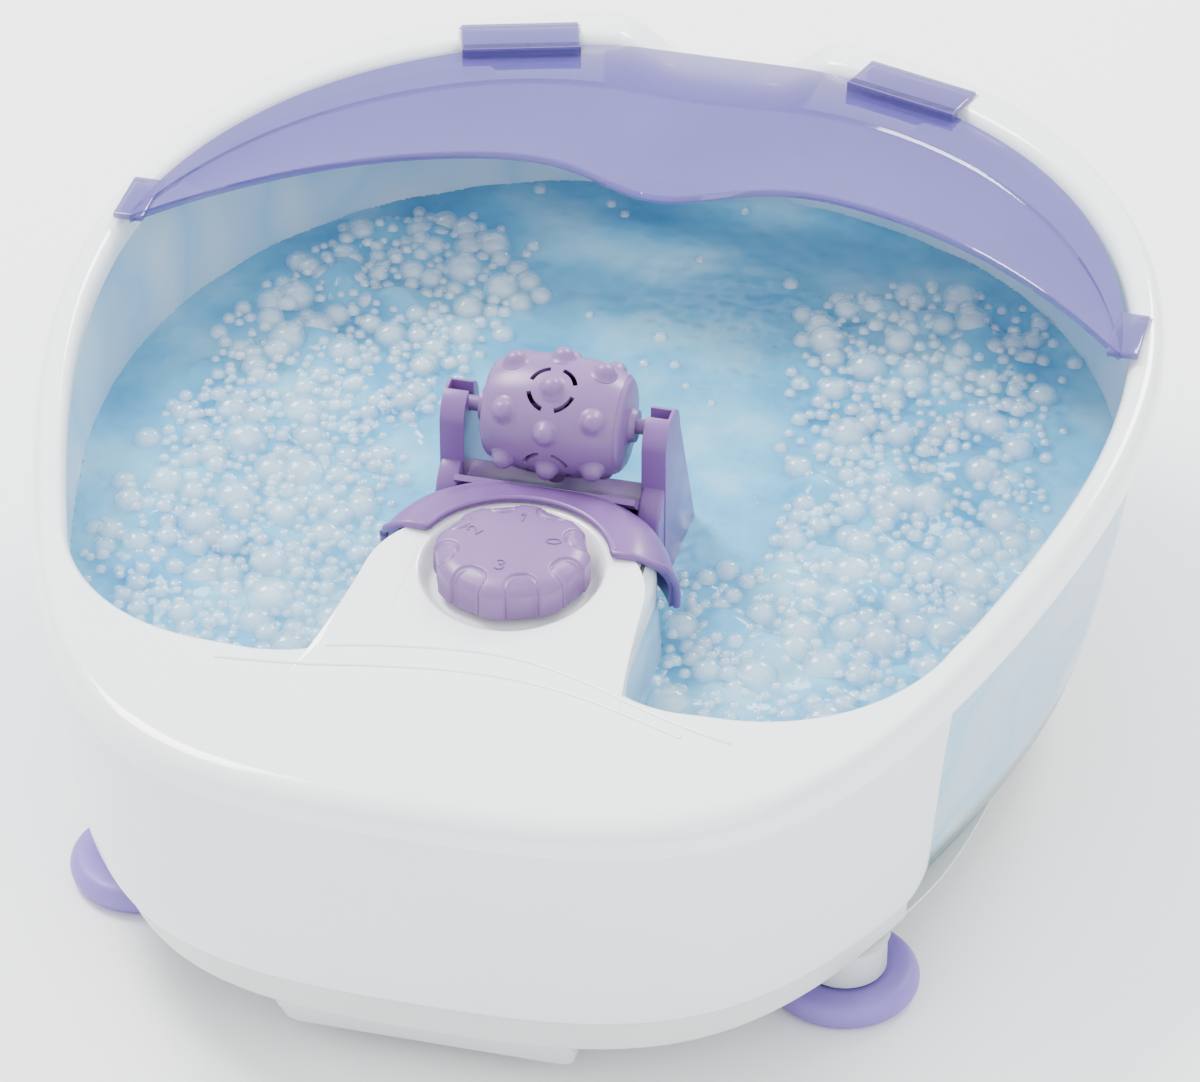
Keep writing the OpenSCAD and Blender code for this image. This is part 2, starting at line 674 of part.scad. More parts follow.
// ---- Blower and air hoses ------------------------------------------------------------
blower_y = -164;
blower_z = 52;
blower_r = 27;
blower_h = 24;
blower_shaft_r = 1.6;
hose_r = 4;

module at_blower(z) {
    translate([0, blower_y, z]) children();
}

module blower_housing() {
    color("gray") difference() {
        union() {
            at_blower(blower_z) cylinder(r = blower_r, h = blower_h - 2);
            at_blower(blower_z + 10) rotate([0, 90, 0]) translate([0, 0, -36])
                cylinder(r = hose_r + 0.5, h = 72);
            for (a = [45, 135, 225, 315]) at_blower(tray_z + wall) rotate([0, 0, a])
                translate([blower_r - 5, 0, 0]) cylinder(r = 3, h = blower_z - tray_z - wall + 1);
        }
        at_blower(blower_z + 2) cylinder(r = blower_r - 2, h = blower_h);
        at_blower(blower_z + 10) rotate([0, 90, 0]) translate([0, 0, -40])
            cylinder(r = hose_r - 1.5, h = 80);
        at_blower(blower_z - 1) cylinder(r = 9, h = 10);
    }
}

module blower_cover() {
    color("dimgray") at_blower(blower_z + blower_h - 2) ring_of(blower_r, 6, 2);
}

module blower_motor() {
    color("silver") difference() {
        at_blower(blower_z + blower_h) cylinder(r = 13, h = 26);
        at_blower(blower_z + blower_h - 1) cylinder(r = blower_shaft_r + shaft_fit, h = 24);
    }
}

module blower_shaft() {
    color("silver") at_blower(blower_z + 4) cylinder(r = blower_shaft_r, h = blower_h + 14);
}

module blower_impeller() {
    color("white") difference() {
        at_blower(blower_z + 5) union() {
            cylinder(r = 21, h = 1.5);
            cylinder(r = 4.5, h = 12);
            for (k = [0 : 8]) rotate([0, 0, 40 * k]) translate([3.5, -0.7, 0.7])
                cube([17, 1.4, 11]);
        }
        at_blower(blower_z) cylinder(r = blower_shaft_r, h = 30);
    }
}

// The hose drops from the blower, runs under the floor and turns up into the tub's inlet
hose_route = [[36.8, -164, 62], [40, -164, 62], [47, -163, 58], [53, -160, 48], [57, -154, 38],
    [60, -145, 31.5], [64, -134, 29.6], [70, -116, 29.2], [76, -98, 29.2], [83, -80, 29.2],
    [89.4, -65, 29.2]];
inlet = [92, -60];
inlet_r = 3;

module air_hose() {
    tube(spline(hose_route, 2), hose_r, 10);
}

// Nipples that take the air up through the tub's floor
module air_nipples() {
    color("lightgray") at_mirror_x() translate([inlet.x, inlet.y, 0]) difference() {
        union() {
            translate([0, 0, 25]) cylinder(r = 5.5, h = floor_z - 25);
            translate([0, 0, floor_z - 1]) cylinder(r = inlet_r, h = 3);
        }
        translate([0, 0, 27]) cylinder(r = inlet_r - 1, h = 20);
    }
}

module air_hose_right() { color("lightgray") air_hose(); }
module air_hose_left() { color("lightgray") mirror([1, 0, 0]) air_hose(); }

// ---- Vibration motor -----------------------------------------------------------------
motor_y = -112;
motor_z = 50;
motor_r = 14;
motor_half_l = 17;
motor_shaft_r = 1.6;

module on_motor_axis(x) {
    translate([x, motor_y, motor_z]) rotate([0, 90, 0]) children();
}

module massage_motor() {
    color("silver") difference() {
        on_motor_axis(-motor_half_l) cylinder(r = motor_r, h = 2 * motor_half_l);
        on_motor_axis(-motor_half_l - 1)
            cylinder(r = motor_shaft_r + shaft_fit, h = 2 * motor_half_l + 2);
    }
}

module massage_shaft() {
    color("silver") on_motor_axis(-29) cylinder(r = motor_shaft_r, h = 58);
}

module eccentric() {
    difference() {
        on_motor_axis(motor_half_l + 3) union() {
            cylinder(r = 4, h = 8);
            intersection() {
                cylinder(r = 11, h = 8);
                translate([0, -12, 0]) cube([12, 24, 8]);
            }
        }
        on_motor_axis(motor_half_l) cylinder(r = motor_shaft_r, h = 14);
    }
}

module eccentric_right() { color("goldenrod") eccentric(); }
module eccentric_left() { color("goldenrod") mirror([1, 0, 0]) eccentric(); }

clamp_half_l = 9;
mount_x = [-26, 26];
module motor_clamp() {
    color("lightslategray") difference() {
        union() {
            on_motor_axis(-clamp_half_l) cylinder(r = motor_r + 2, h = 2 * clamp_half_l);
            translate([-clamp_half_l, motor_y - 30, 31]) cube([2 * clamp_half_l, 60, 3]);
            translate([-clamp_half_l, motor_y - 15, 31]) cube([2 * clamp_half_l, 30, 12]);
        }
        on_motor_axis(-30) cylinder(r = motor_r, h = 60);
        for (y = [-24, 24]) translate([0, motor_y + y, 20]) cylinder(r = 1.7, h = 30);
    }
}

module motor_mounts() {
    color("black") for (y = [-24, 24]) translate([0, motor_y + y, tray_z + wall])
        ring_of(6, 1.7, 31 - tray_z - wall);
}

module motor_screws() {
    color("silver") for (y = [-24, 24]) translate([0, motor_y + y, 34]) rotate([180, 0, 0])
        screw(34 - tray_z - wall - 0.2);
}

// ---- Heater --------------------------------------------------------------------------
heater_y = 60;
heater_half_w = 34;
heater_z = 31;
heater_plate_t = 1.4;

module heater_plate() {
    color("silver") translate([-52, -4, floor_z - heater_plate_t - 0.05])
        cube([104, 124, heater_plate_t]);
}

module heater_rod() {
    color("gray") translate([0, heater_y, heater_z - 0.3]) {
        for (s = [-1, 1]) translate([s * heater_half_w, -50, 0]) rotate([-90, 0, 0])
            cylinder(r = 3.2, h = 66);
        translate([0, 16, 0]) intersection() {
            rotate_extrude() translate([heater_half_w, 0]) circle(r = 3.2);
            translate([-60, 0, -10]) cube([120, 60, 20]);
        }
    }
}

module heater_clips() {
    color("silver") for (s = [-1, 1]) for (y = [24, 64]) translate([s * heater_half_w, y, 0])
        difference() {
            translate([-9, -4, heater_z - 4.6]) cube([18, 8, floor_z - heater_plate_t - heater_z + 4.5]);
            translate([0, 5, heater_z - 0.3]) rotate([90, 0, 0]) cylinder(r = 3.25, h = 10);
        }
}

module thermostat() {
    color("tan") translate([0, 40, floor_z - heater_plate_t - 0.1]) mirror([0, 0, 1]) union() {
        cylinder(r = 8, h = 5);
        cylinder(r = 5, h = 8);
        for (x = [-11, 11]) translate([x - 1.5, -3, 0]) cube([3, 6, 0.8]);
        translate([-10, -3, 0]) cube([20, 6, 0.8]);
    }
}

module thermal_fuse() {
    color("white") translate([-6, 76, floor_z - heater_plate_t - 2.6]) rotate([0, 90, 0]) union() {
        cylinder(r = 2.4, h = 12);
        translate([0, 0, -5]) cylinder(r = 0.6, h = 22);
    }
}

// ---- Wiring --------------------------------------------------------------------------
block_spot = [-58, -175];
cap_spot = [60, -176];

module terminal_block() {
    color("ivory") translate([block_spot.x, block_spot.y, tray_z + wall]) difference() {
        translate([-16, -8, 0]) cube([32, 16, 13]);
        for (x = [-12, -4, 4, 12]) translate([x, 0, 8]) cylinder(r = 2.2, h = 10);
        for (x = [-12, -4, 4, 12]) translate([x, 12, 5]) rotate([90, 0, 0])
            cylinder(r = 1.7, h = 10);
    }
}

module suppression_capacitor() {
    color("khaki") translate([cap_spot.x, cap_spot.y, tray_z + wall]) union() {
        translate([-13, -5, 0]) cube([26, 10, 17]);
        for (x = [-8, 8]) translate([x, 0, 16]) cylinder(r = 0.6, h = 5);
    }
}

wire_r = 1.5;
wires = [
    [[-46, -166.4, 29.5], [-45, -162, 31], [-42, -165, 37], [-37, -174, 44], [-35, -178, 56],
        [-34, -174, 68], [-33, -160, 76], [-31, -140, 79], [-28, -120, 80], [-16, -105, 84],
        [-9, -98.3, 88]],
    [[-62, -166.4, 29.5], [-61, -160, 28], [-52, -146, 27.5], [-44, -125, 27],
        [-28, -70, 27], [-18, -10, 27], [-14, 24, 27], [-12, 32, 27]],
    [[52, -176, 47.2], [48, -177, 50], [42, -178, 54], [37, -177, 62], [34, -172, 72],
        [33, -150, 82], [26, -122, 84], [14, -106, 86], [9, -98.3, 88]]];

module wiring_loom() {
    color("darkred") for (w = wires) tube(spline(w, 2), wire_r, 6);
}

// ---- Assembly ------------------------------------------------------------------------
top_cover();
tub();
rim_gasket();
front_skirt();
base_tray();
splash_guard();
control_knob();
switch_shaft();
switch_body();
switch_bracket();
switch_terminals();
shaft_seal();
roller_stand();
roller_body();
roller_cap_left();
roller_cap_right();
roller_axle();
foot_front_left();
foot_front_right();
foot_rear_left();
foot_rear_right();
foot_screws();
base_screws();
bubble_plate_left();
bubble_plate_right();
blower_housing();
blower_cover();
blower_motor();
blower_shaft();
blower_impeller();
air_hose_left();
air_hose_right();
air_nipples();
massage_motor();
massage_shaft();
eccentric_left();
eccentric_right();
motor_clamp();
motor_mounts();
motor_screws();
heater_plate();
heater_rod();
heater_clips();
thermostat();
thermal_fuse();
terminal_block();
suppression_capacitor();
cord_gland();
wiring_loom();
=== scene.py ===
import math
import random
import bmesh
import bpy
import numpy as np
from mathutils import Matrix, Vector


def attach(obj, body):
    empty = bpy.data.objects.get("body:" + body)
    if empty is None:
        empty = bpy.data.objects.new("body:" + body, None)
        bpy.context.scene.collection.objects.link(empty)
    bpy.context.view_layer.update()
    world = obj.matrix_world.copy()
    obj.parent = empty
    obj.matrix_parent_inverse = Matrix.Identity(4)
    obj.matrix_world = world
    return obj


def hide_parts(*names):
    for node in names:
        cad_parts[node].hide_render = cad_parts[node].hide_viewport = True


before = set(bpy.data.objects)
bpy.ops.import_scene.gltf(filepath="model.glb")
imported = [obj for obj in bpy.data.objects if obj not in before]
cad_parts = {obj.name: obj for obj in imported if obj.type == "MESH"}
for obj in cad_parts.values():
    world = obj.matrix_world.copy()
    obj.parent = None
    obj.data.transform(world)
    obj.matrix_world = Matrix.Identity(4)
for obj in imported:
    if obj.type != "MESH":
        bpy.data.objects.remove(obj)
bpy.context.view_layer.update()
MM = 0.001
random.seed(7)

# ---- Camera: the viewing angle, in the part's own frame -------------------------------
AZIMUTH, ELEVATION = math.radians(14.298), math.radians(35.5)
TARGET = Vector((0, -0.034, 0.100))
DISTANCE, SHIFT_RIGHT, SHIFT_UP = 1.9188, 0.0140, -0.00616


def add_camera():
    a, e = AZIMUTH, ELEVATION
    back = Vector((math.sin(a) * math.cos(e), -math.cos(a) * math.cos(e), math.sin(e)))
    right = Vector((math.cos(a), math.sin(a), 0))
    up = back.cross(right)
    data = bpy.data.cameras.new("camera")
    data.lens, data.sensor_width = 180, 36
    cam = bpy.data.objects.new("camera", data)
    bpy.context.collection.objects.link(cam)
    cam.matrix_world = Matrix((right, up, back)).transposed().to_4x4()
    cam.location = TARGET + back * DISTANCE + right * SHIFT_RIGHT + up * SHIFT_UP
    bpy.context.scene.camera = cam


# ---- Outlines and heights, in millimetres ---------------------------------------------
HALF_W, MID_Y, FRONT_L, REAR_L = 181.0, 30.0, 246.0, 186.0
IN_HALF_W, IN_FRONT_L, IN_REAR_L = 169.5, 234.0, 166.0
SIDE_PHI, TOE_Y, NOSE_Y, TONGUE = -31.0, -146.0, -44.0, 43.0
FINE = 4
COUNTS = [24 * FINE, 2 * FINE, 12 * FINE, 8 * FINE, 8 * FINE]
KNOB_Y, RECESS_R, RECESS_DEPTH = -88.0, 28.7, 5.0
ROLLER_Y, ROLLER_Z, ROLLER_R = -29.0, 138.0, 19.3
WALL, WELL_FLOOR, APRON_Z, LIP = 2.5, 38.5, 24.5, 11.0
WATER_Z = 85.0
EDGE_WIDTH, WELL_EDGE_WIDTH = 5.4, 4.8      # width of the cover's rounding at each edge
TUB_DROP, TONGUE_DROP = 4, 9                # the tub's edge below the rim, and more at the tongue
SHOULDER_S, SHOULDER_BULGE = 0.93, 6.0      # where the tub's wall steps out under the rim


def ease(t):
    t = np.clip(t, 0, 1)
    return t * t * (3 - 2 * t)


def mix(a, b, t):
    return a + (b - a) * t


def egg(a, front, rear, phi):
    s, c = math.sin(math.radians(phi)), math.cos(math.radians(phi))
    n = 2 + 0.15 * s if phi > 0 else 2 + 0.9 * s + 1.65 * s * s
    b = rear if phi > 0 else -front
    return np.array([a * max(0, c) ** (2 / n), MID_Y + b * abs(s) ** (2 / n)])


def outer_pt(phi, inset=0.0):
    return egg(HALF_W - inset, FRONT_L - inset, REAR_L - inset, phi)


def inner_pt(phi):
    return egg(IN_HALF_W, IN_FRONT_L, IN_REAR_L, phi)


def unit(v):
    return v / np.linalg.norm(v)


def round_corner(a, v, b, r, n):
    d1, d2 = unit(a - v), unit(b - v)
    half = math.acos(d1 @ d2) / 2
    c = v + unit(d1 + d2) * (r / math.sin(half))
    p0, p1 = v + d1 * (r / math.tan(half)) - c, v + d2 * (r / math.tan(half)) - c
    sweep = (math.pi - 2 * half) * np.sign(p0[0] * p1[1] - p0[1] * p1[0])
    ts = [sweep * i / (n - 1) for i in range(n)]
    return [c + np.array([p0[0] * math.cos(t) - p0[1] * math.sin(t),
                          p0[0] * math.sin(t) + p0[1] * math.cos(t)]) for t in ts]


def span(a, b, n):
    return [a + (b - a) * i / n for i in range(n)]


def well_half():
    side, bridge, lobe, fillet, nose = COUNTS
    end = inner_pt(SIDE_PHI)
    d = unit(inner_pt(SIDE_PHI) - inner_pt(SIDE_PHI + 0.5))
    toe = end + d * ((TOE_Y - end[1]) / d[1])
    root, tip = np.array([TONGUE, TOE_Y]), np.array([TONGUE, NOSE_Y])
    start = end + d * (np.linalg.norm(toe - end) - 48)
    return ([inner_pt(p) for p in span(90, SIDE_PHI, side)]
            + [mix(end, start, i / bridge) for i in range(bridge)]
            + round_corner(end, toe, root, 62, lobe)
            + round_corner(toe, root, tip, 24, fillet)
            + round_corner(root, tip, np.array([0, NOSE_Y]), 34, nose))


def outer_half():
    side, bridge, lobe, fillet, nose = COUNTS
    phis = (span(90, SIDE_PHI, side) + span(SIDE_PHI, -36, bridge) + span(-36, -64, lobe)
            + span(-66, -76, fillet) + span(-79, -90, nose))
    return [outer_pt(p) for p in phis]


def around(half, last):
    return np.array(half + [last] + [p * [-1, 1] for p in half[:0:-1]])


WELL = around(well_half(), np.array([0.0, NOSE_Y]))
OUTER = around(outer_half(), outer_pt(-90))
RING = len(WELL)
_step = np.roll(WELL, 1, 0) - np.roll(WELL, -1, 0)
NORMALS = -np.stack([-_step[:, 1], _step[:, 0]], 1) / np.linalg.norm(_step, axis=1)[:, None]
_index = np.minimum(np.arange(RING), RING - np.arange(RING)) / FINE
SIDE_WEIGHT = ease((34 - _index) / 10)      # 1 along the basin's sides
TONGUE_WEIGHT = ease((_index - 39) / 7)     # 1 along the tongue between the foot wells


def soft_ramp(x, w):
    return w * np.logaddexp(0, x / w)


def rim_z(x, y):
    spout = np.where(y < 100, 0, 14 * (1 - ease((np.abs(x) - 16) / 24)))
    dip = np.where(y > 0, 0, 7 * ease((y + 190) / 70) * np.exp(-(x / 62) ** 2))
    return 121 - spout - dip + 0.095 * (soft_ramp(y + 140, 20) - soft_ramp(y - 100, 20))


def cover_ring(d, down, middle=None):
    """Ring at d from the outer edge, or from the well when d is negative.

    With middle set, the ring lies that far across the deck between the two roundings.
    """
    gap = np.linalg.norm(WELL - OUTER, axis=1)
    wide = 1 + 0.7 * ease((gap - 14) / 50)
    arched = 1 + 1.5 * TONGUE_WEIGHT
    if middle is None:
        t = d * wide / gap if d >= 0 else 1 + d * arched / gap
        down = down if d >= 0 else down * (1 + TONGUE_WEIGHT)
    else:
        t = mix(EDGE_WIDTH * wide / gap, 1 - WELL_EDGE_WIDTH * arched / gap, middle)
    p = mix(OUTER, WELL, t[:, None])
    if middle is None and d < 0:
        squarely = WELL + NORMALS * (-d * arched)[:, None]
        p = mix(p, squarely, TONGUE_WEIGHT[:, None])
    return np.column_stack([p, rim_z(p[:, 0], p[:, 1]) - down])


def tub_bulge(s):
    if s > SHOULDER_S:
        return np.full(RING, SHOULDER_BULGE)
    return mix(-5 + 8.4 * s, -12 + 21 * s ** 0.65, SIDE_WEIGHT)


def tub_top():
    return rim_z(WELL[:, 0], WELL[:, 1]) - TUB_DROP - TONGUE_DROP * TONGUE_WEIGHT


def tub_ring(s, inset, flat=None):
    """Ring of the tub's wall, from the apron (0) to the top edge (1), or at a flat height."""
    q = WELL + NORMALS * (tub_bulge(s) - inset)[:, None]
    z = np.full(RING, flat) if flat is not None else mix(APRON_Z, tub_top(), s)
    return np.column_stack([q, z])


# ---- Mesh helpers ---------------------------------------------------------------------
def new_object(name, verts, faces, smooth=35):
    mesh = bpy.data.meshes.new(name)
    mesh.from_pydata([tuple(v) for v in np.asarray(verts, float) * MM], [], faces)
    bm = bmesh.new()
    bm.from_mesh(mesh)
    bmesh.ops.recalc_face_normals(bm, faces=bm.faces)
    bm.to_mesh(mesh)
    bm.free()
    obj = bpy.data.objects.new(name, mesh)
    bpy.context.collection.objects.link(obj)
    mesh.shade_smooth()
    if smooth < 180:
        mesh.set_sharp_from_angle(angle=math.radians(smooth))
    return obj


def grid_faces(m, n, wrap_m, wrap_n, offset=0):
    rows, cols = (m if wrap_m else m - 1), (n if wrap_n else n - 1)
    return [(offset + k * n + i, offset + k * n + (i + 1) % n,
             offset + (k + 1) % m * n + (i + 1) % n, offset + (k + 1) % m * n + i)
            for k in range(rows) for i in range(cols)]


def loft(name, rings, looped=False, caps=True, closed=True, smooth=35):
    m, n = len(rings), len(rings[0])
    faces = grid_faces(m, n, looped, closed)
    if caps and not looped:
        faces += [tuple(range(n)), tuple(range((m - 1) * n, m * n))]
    return new_object(name, np.concatenate(rings), faces, smooth)


def lathe(name, profile, spot=(0, 0, 0), n=96, axis="Z", smooth=35):
    """Solid of revolution; profile is a closed loop of (radius, height)."""
    angles = np.linspace(0, 2 * math.pi, n, endpoint=False)
    rings = []
    for r, h in profile:
        a, b, c = r * np.cos(angles), r * np.sin(angles), np.full(n, float(h))
        rings.append(np.column_stack([c, a, b] if axis == "X" else [a, b, c]) + spot)
    obj = loft(name, rings, looped=True, smooth=smooth)
    weld(obj)
    return obj


def weld(obj, dist=0.00001):
    bm = bmesh.new()
    bm.from_mesh(obj.data)
    bmesh.ops.remove_doubles(bm, verts=bm.verts, dist=dist)
    loose = [f for f in bm.faces if f.calc_area() < 1e-12]
    bmesh.ops.delete(bm, geom=loose, context="FACES")
    bmesh.ops.recalc_face_normals(bm, faces=bm.faces)
    bm.to_mesh(obj.data)
    bm.free()


def tube(name, path, radius, sides=10, smooth=60):
    path = np.asarray(path, float)
    rings = []
    for k, p in enumerate(path):
        d = unit(path[min(len(path) - 1, k + 1)] - path[max(0, k - 1)])
        u = unit(np.cross(d, [0, 0, 1] if abs(d[2]) < 0.8 else [1, 0, 0]))
        w = np.cross(d, u)
        rings.append([p + radius * (math.cos(t) * u + math.sin(t) * w)
                      for t in np.linspace(0, 2 * math.pi, sides, endpoint=False)])
    return loft(name, [np.array(r) for r in rings], smooth=smooth)


def slab(name, outline, z0, z1, bevel=0.0, smooth=35):
    """Upright prism over a plan outline, with its long edges rounded."""
    outline = np.asarray(outline, float)
    n = len(outline)
    low = np.column_stack([outline, np.full(n, z0)])
    high = np.column_stack([outline, np.full(n, z1)])
    obj = loft(name, [low, high], smooth=smooth)
    if bevel:
        soften(obj, bevel)
    return obj


def soften(obj, width, segments=3, angle=40):
    mod = obj.modifiers.new("bevel", "BEVEL")
    mod.width, mod.segments = width * MM, segments
    mod.limit_method, mod.angle_limit = "ANGLE", math.radians(angle)
    apply_modifiers(obj)


def apply_modifiers(obj):
    depsgraph = bpy.context.evaluated_depsgraph_get()
    mesh = bpy.data.meshes.new_from_object(obj.evaluated_get(depsgraph))
    obj.modifiers.clear()
    obj.data = mesh
    mesh.shade_smooth()
    mesh.set_sharp_from_angle(angle=math.radians(35))


def join(objects, name):
    bpy.context.view_layer.update()
    bm = bmesh.new()
    for o in objects:
        mesh = o.data.copy()
        mesh.transform(o.matrix_world)
        bm.from_mesh(mesh)
        bpy.data.meshes.remove(mesh)
    mesh = bpy.data.meshes.new(name)
    bm.to_mesh(mesh)
    bm.free()
    for o in objects:
        bpy.data.objects.remove(o)
    obj = bpy.data.objects.new(name, mesh)
    bpy.context.collection.objects.link(obj)
    return obj


def cut(obj, cutters):
    for c in cutters:
        mod = obj.modifiers.new("cut", "BOOLEAN")
        mod.object, mod.operation, mod.solver = c, "DIFFERENCE", "EXACT"
    apply_modifiers(obj)
    for c in cutters:
        bpy.data.objects.remove(c)


def box_at(name, size, centre, turn=0.0, tilt=0.0, bevel=0.0):
    x, y, z = (v / 2 for v in size)
    pts = [(-x, -y), (x, -y), (x, y), (-x, y)]
    obj = slab(name, pts, -z, z, bevel)
    turn_matrix = Matrix.Rotation(math.radians(turn), 4, "Z")
    tilt_matrix = Matrix.Rotation(math.radians(tilt), 4, "X")
    obj.data.transform(Matrix.Translation(Vector(centre) * MM) @ turn_matrix @ tilt_matrix)
    return obj


# ---- Materials ------------------------------------------------------------------------
def node_material(name):
    mat = bpy.data.materials.new(name)
    mat.use_nodes = True
    nodes = mat.node_tree.nodes
    return mat, nodes, mat.node_tree.links, nodes["Principled BSDF"]


def noise_node(nodes, links, scale, detail=4.0):
    coords = nodes.new("ShaderNodeTexCoord")
    noise = nodes.new("ShaderNodeTexNoise")
    noise.inputs["Scale"].default_value = scale
    noise.inputs["Detail"].default_value = detail
    links.new(coords.outputs["Object"], noise.inputs["Vector"])
    return noise


def ramp_node(nodes, links, source, stops):
    ramp = nodes.new("ShaderNodeValToRGB")
    links.new(source, ramp.inputs["Fac"])
    while len(ramp.color_ramp.elements) < len(stops):
        ramp.color_ramp.elements.new(0.5)
    for element, (place, colour) in zip(ramp.color_ramp.elements, stops):
        element.position, element.color = place, (*colour, 1)
    return ramp


def shade(colour, factor):
    return tuple(min(1, c * factor) for c in colour)


def surface(name, colour, rough=0.3, vary=0.05, scale=60, bump=0.02, metal=0.0, coat=0.0,
            alpha=1.0, soft=0.0):
    """Moulded or drawn surface: slight mottling, uneven gloss and fine grain."""
    mat, nodes, links, bsdf = node_material(name)
    noise = noise_node(nodes, links, scale)
    ramp = ramp_node(nodes, links, noise.outputs["Fac"],
                     [(0.3, shade(colour, 1 - vary)), (0.7, shade(colour, 1 + vary))])
    links.new(ramp.outputs["Color"], bsdf.inputs["Base Color"])
    gloss = ramp_node(nodes, links, noise.outputs["Fac"],
                      [(0.3, (rough * 0.85,) * 3), (0.7, (rough * 1.15,) * 3)])
    links.new(gloss.outputs["Color"], bsdf.inputs["Roughness"])
    grain = noise_node(nodes, links, scale * 30, 2)
    relief = nodes.new("ShaderNodeBump")
    relief.inputs["Strength"].default_value = bump * 5
    relief.inputs["Distance"].default_value = 0.0002
    links.new(grain.outputs["Fac"], relief.inputs["Height"])
    links.new(relief.outputs["Normal"], bsdf.inputs["Normal"])
    bsdf.inputs["Metallic"].default_value = metal
    bsdf.inputs["Coat Weight"].default_value = coat
    bsdf.inputs["Coat Roughness"].default_value = 0.05
    bsdf.inputs["Alpha"].default_value = alpha
    bsdf.inputs["Subsurface Weight"].default_value = soft
    bsdf.inputs["Subsurface Radius"].default_value = (0.006, 0.006, 0.006)
    return mat


def dress(obj, mat, slot, body, *replaced):
    obj.data.materials.clear()
    obj.data.materials.append(mat)
    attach(obj, body)
    if replaced:
        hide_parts(*replaced)
    return obj


# ---- Top cover ------------------------------------------------------------------------
EDGE = [(0, 11), (0, 8.4), (0.02, 6.2), (0.2, 4.9), (0.62, 3.6), (1.3, 2.35), (2.2, 1.3),
        (3.2, 0.58), (4.3, 0.14), (5.4, 0)]
INNER_EDGE = [(-4.8, 0), (-3.9, 0.12), (-2.9, 0.5), (-1.95, 1.2), (-1.1, 2.2), (-0.45, 3.5),
              (-0.1, 4.9), (-0.001, 6.3), (-0.001, 9)]
HOLE_R = RECESS_R + 1.5
DECK_LINES = [
    [(-45, -140.4), (-28.8, -134.4), (-6.8, -129.4), (14.3, -130), (35.2, -137.7),
     (53.5, -147.6), (70.4, -155.5), (86.9, -161)],
    [(-75.2, -156.8), (-49.4, -152.2), (-25.7, -145), (-3.7, -140.6), (17.3, -141.2),
     (37.3, -146.7), (53, -153.5), (71.6, -161.5)]]


def smooth_path(points, step=10):
    p = np.asarray(points, float)
    out = []
    for k in range(len(p) - 1):
        a, b, c, d = p[max(0, k - 1)], p[k], p[k + 1], p[min(len(p) - 1, k + 2)]
        for t in np.linspace(0, 1, step, endpoint=False):
            out.append(0.5 * (2 * b + (c - a) * t + (2 * a - 5 * b + 4 * c - d) * t * t
                              + (3 * b - a - 3 * c + d) * t ** 3))
    return np.array(out + [p[-1]])


def on_deck(path, lift=0.0):
    p = np.asarray(path, float)
    return np.column_stack([p, rim_z(p[:, 0], p[:, 1]) + lift])


def recess_bowl():
    """Dished recess round the knob; its edge follows the deck."""
    angles = np.linspace(0, 2 * math.pi, 160, endpoint=False)
    floor = rim_z(0.0, KNOB_Y) - RECESS_DEPTH
    rings = []
    for r, f in [(HOLE_R + 0.02, 0), (HOLE_R - 0.5, 0.015), (HOLE_R - 1.0, 0.07),
                 (HOLE_R - 1.5, 0.17), (HOLE_R - 2.0, 0.32), (HOLE_R - 2.6, 0.52),
                 (HOLE_R - 3.3, 0.74), (HOLE_R - 4.0, 0.9), (HOLE_R - 4.8, 0.98),
                 (HOLE_R - 5.8, 1.0), (3.1, 1.0)]:
        x, y = r * np.cos(angles), KNOB_Y + r * np.sin(angles)
        top = rim_z(HOLE_R * np.cos(angles), KNOB_Y + HOLE_R * np.sin(angles))
        z = mix(top, floor, f) if f else rim_z(x, y)
        rings.append(np.column_stack([x, y, z]))
    return loft("bowl", rings, caps=False, smooth=180)


def seat_cutters():
    """Shallow seats in the rim for the guard's tabs."""
    cutters = []
    for s in (1, -1):
        cutters.append(box_at("seat_rear", (42, 18.5, 12), (s * 69.2, 182.9, 149), -17 * s))
        cutters.append(box_at("seat_side", (10, 25.2, 12), (s * 168, 56, 145.2)))
    return cutters


def build_cover():
    """One shell, over the top and back underneath, with the knob's bowl and the deck's lines."""
    rings = [cover_ring(d, down) for d, down in EDGE]
    rings += [cover_ring(0, 0, f) for f in np.linspace(0.06, 0.94, 16)]
    rings += [cover_ring(d, down) for d, down in INNER_EDGE]
    rings += [cover_ring(-2.2, 9), cover_ring(-2.3, 5.4), cover_ring(-4.9, WALL)]
    rings += [cover_ring(0, WALL, f) for f in (0.8, 0.6, 0.4, 0.2)]
    rings += [cover_ring(5.5, WALL), cover_ring(2.3, 6), cover_ring(2.2, 11)]
    shell = loft("cover_shell", rings, looped=True)
    hole = lathe("hole", [(0, 100), (HOLE_R, 100), (HOLE_R, 130), (0, 130)],
                 (0, KNOB_Y, 0), n=160)
    cut(shell, [hole] + seat_cutters())
    parts = [shell, recess_bowl()]
    for line in DECK_LINES:
        parts.append(tube("deck_line", on_deck(smooth_path(line), -0.2), 0.8))
    return join(parts, "rim_and_deck")


# ---- Tub ------------------------------------------------------------------------------
RIB_ROWS = 9


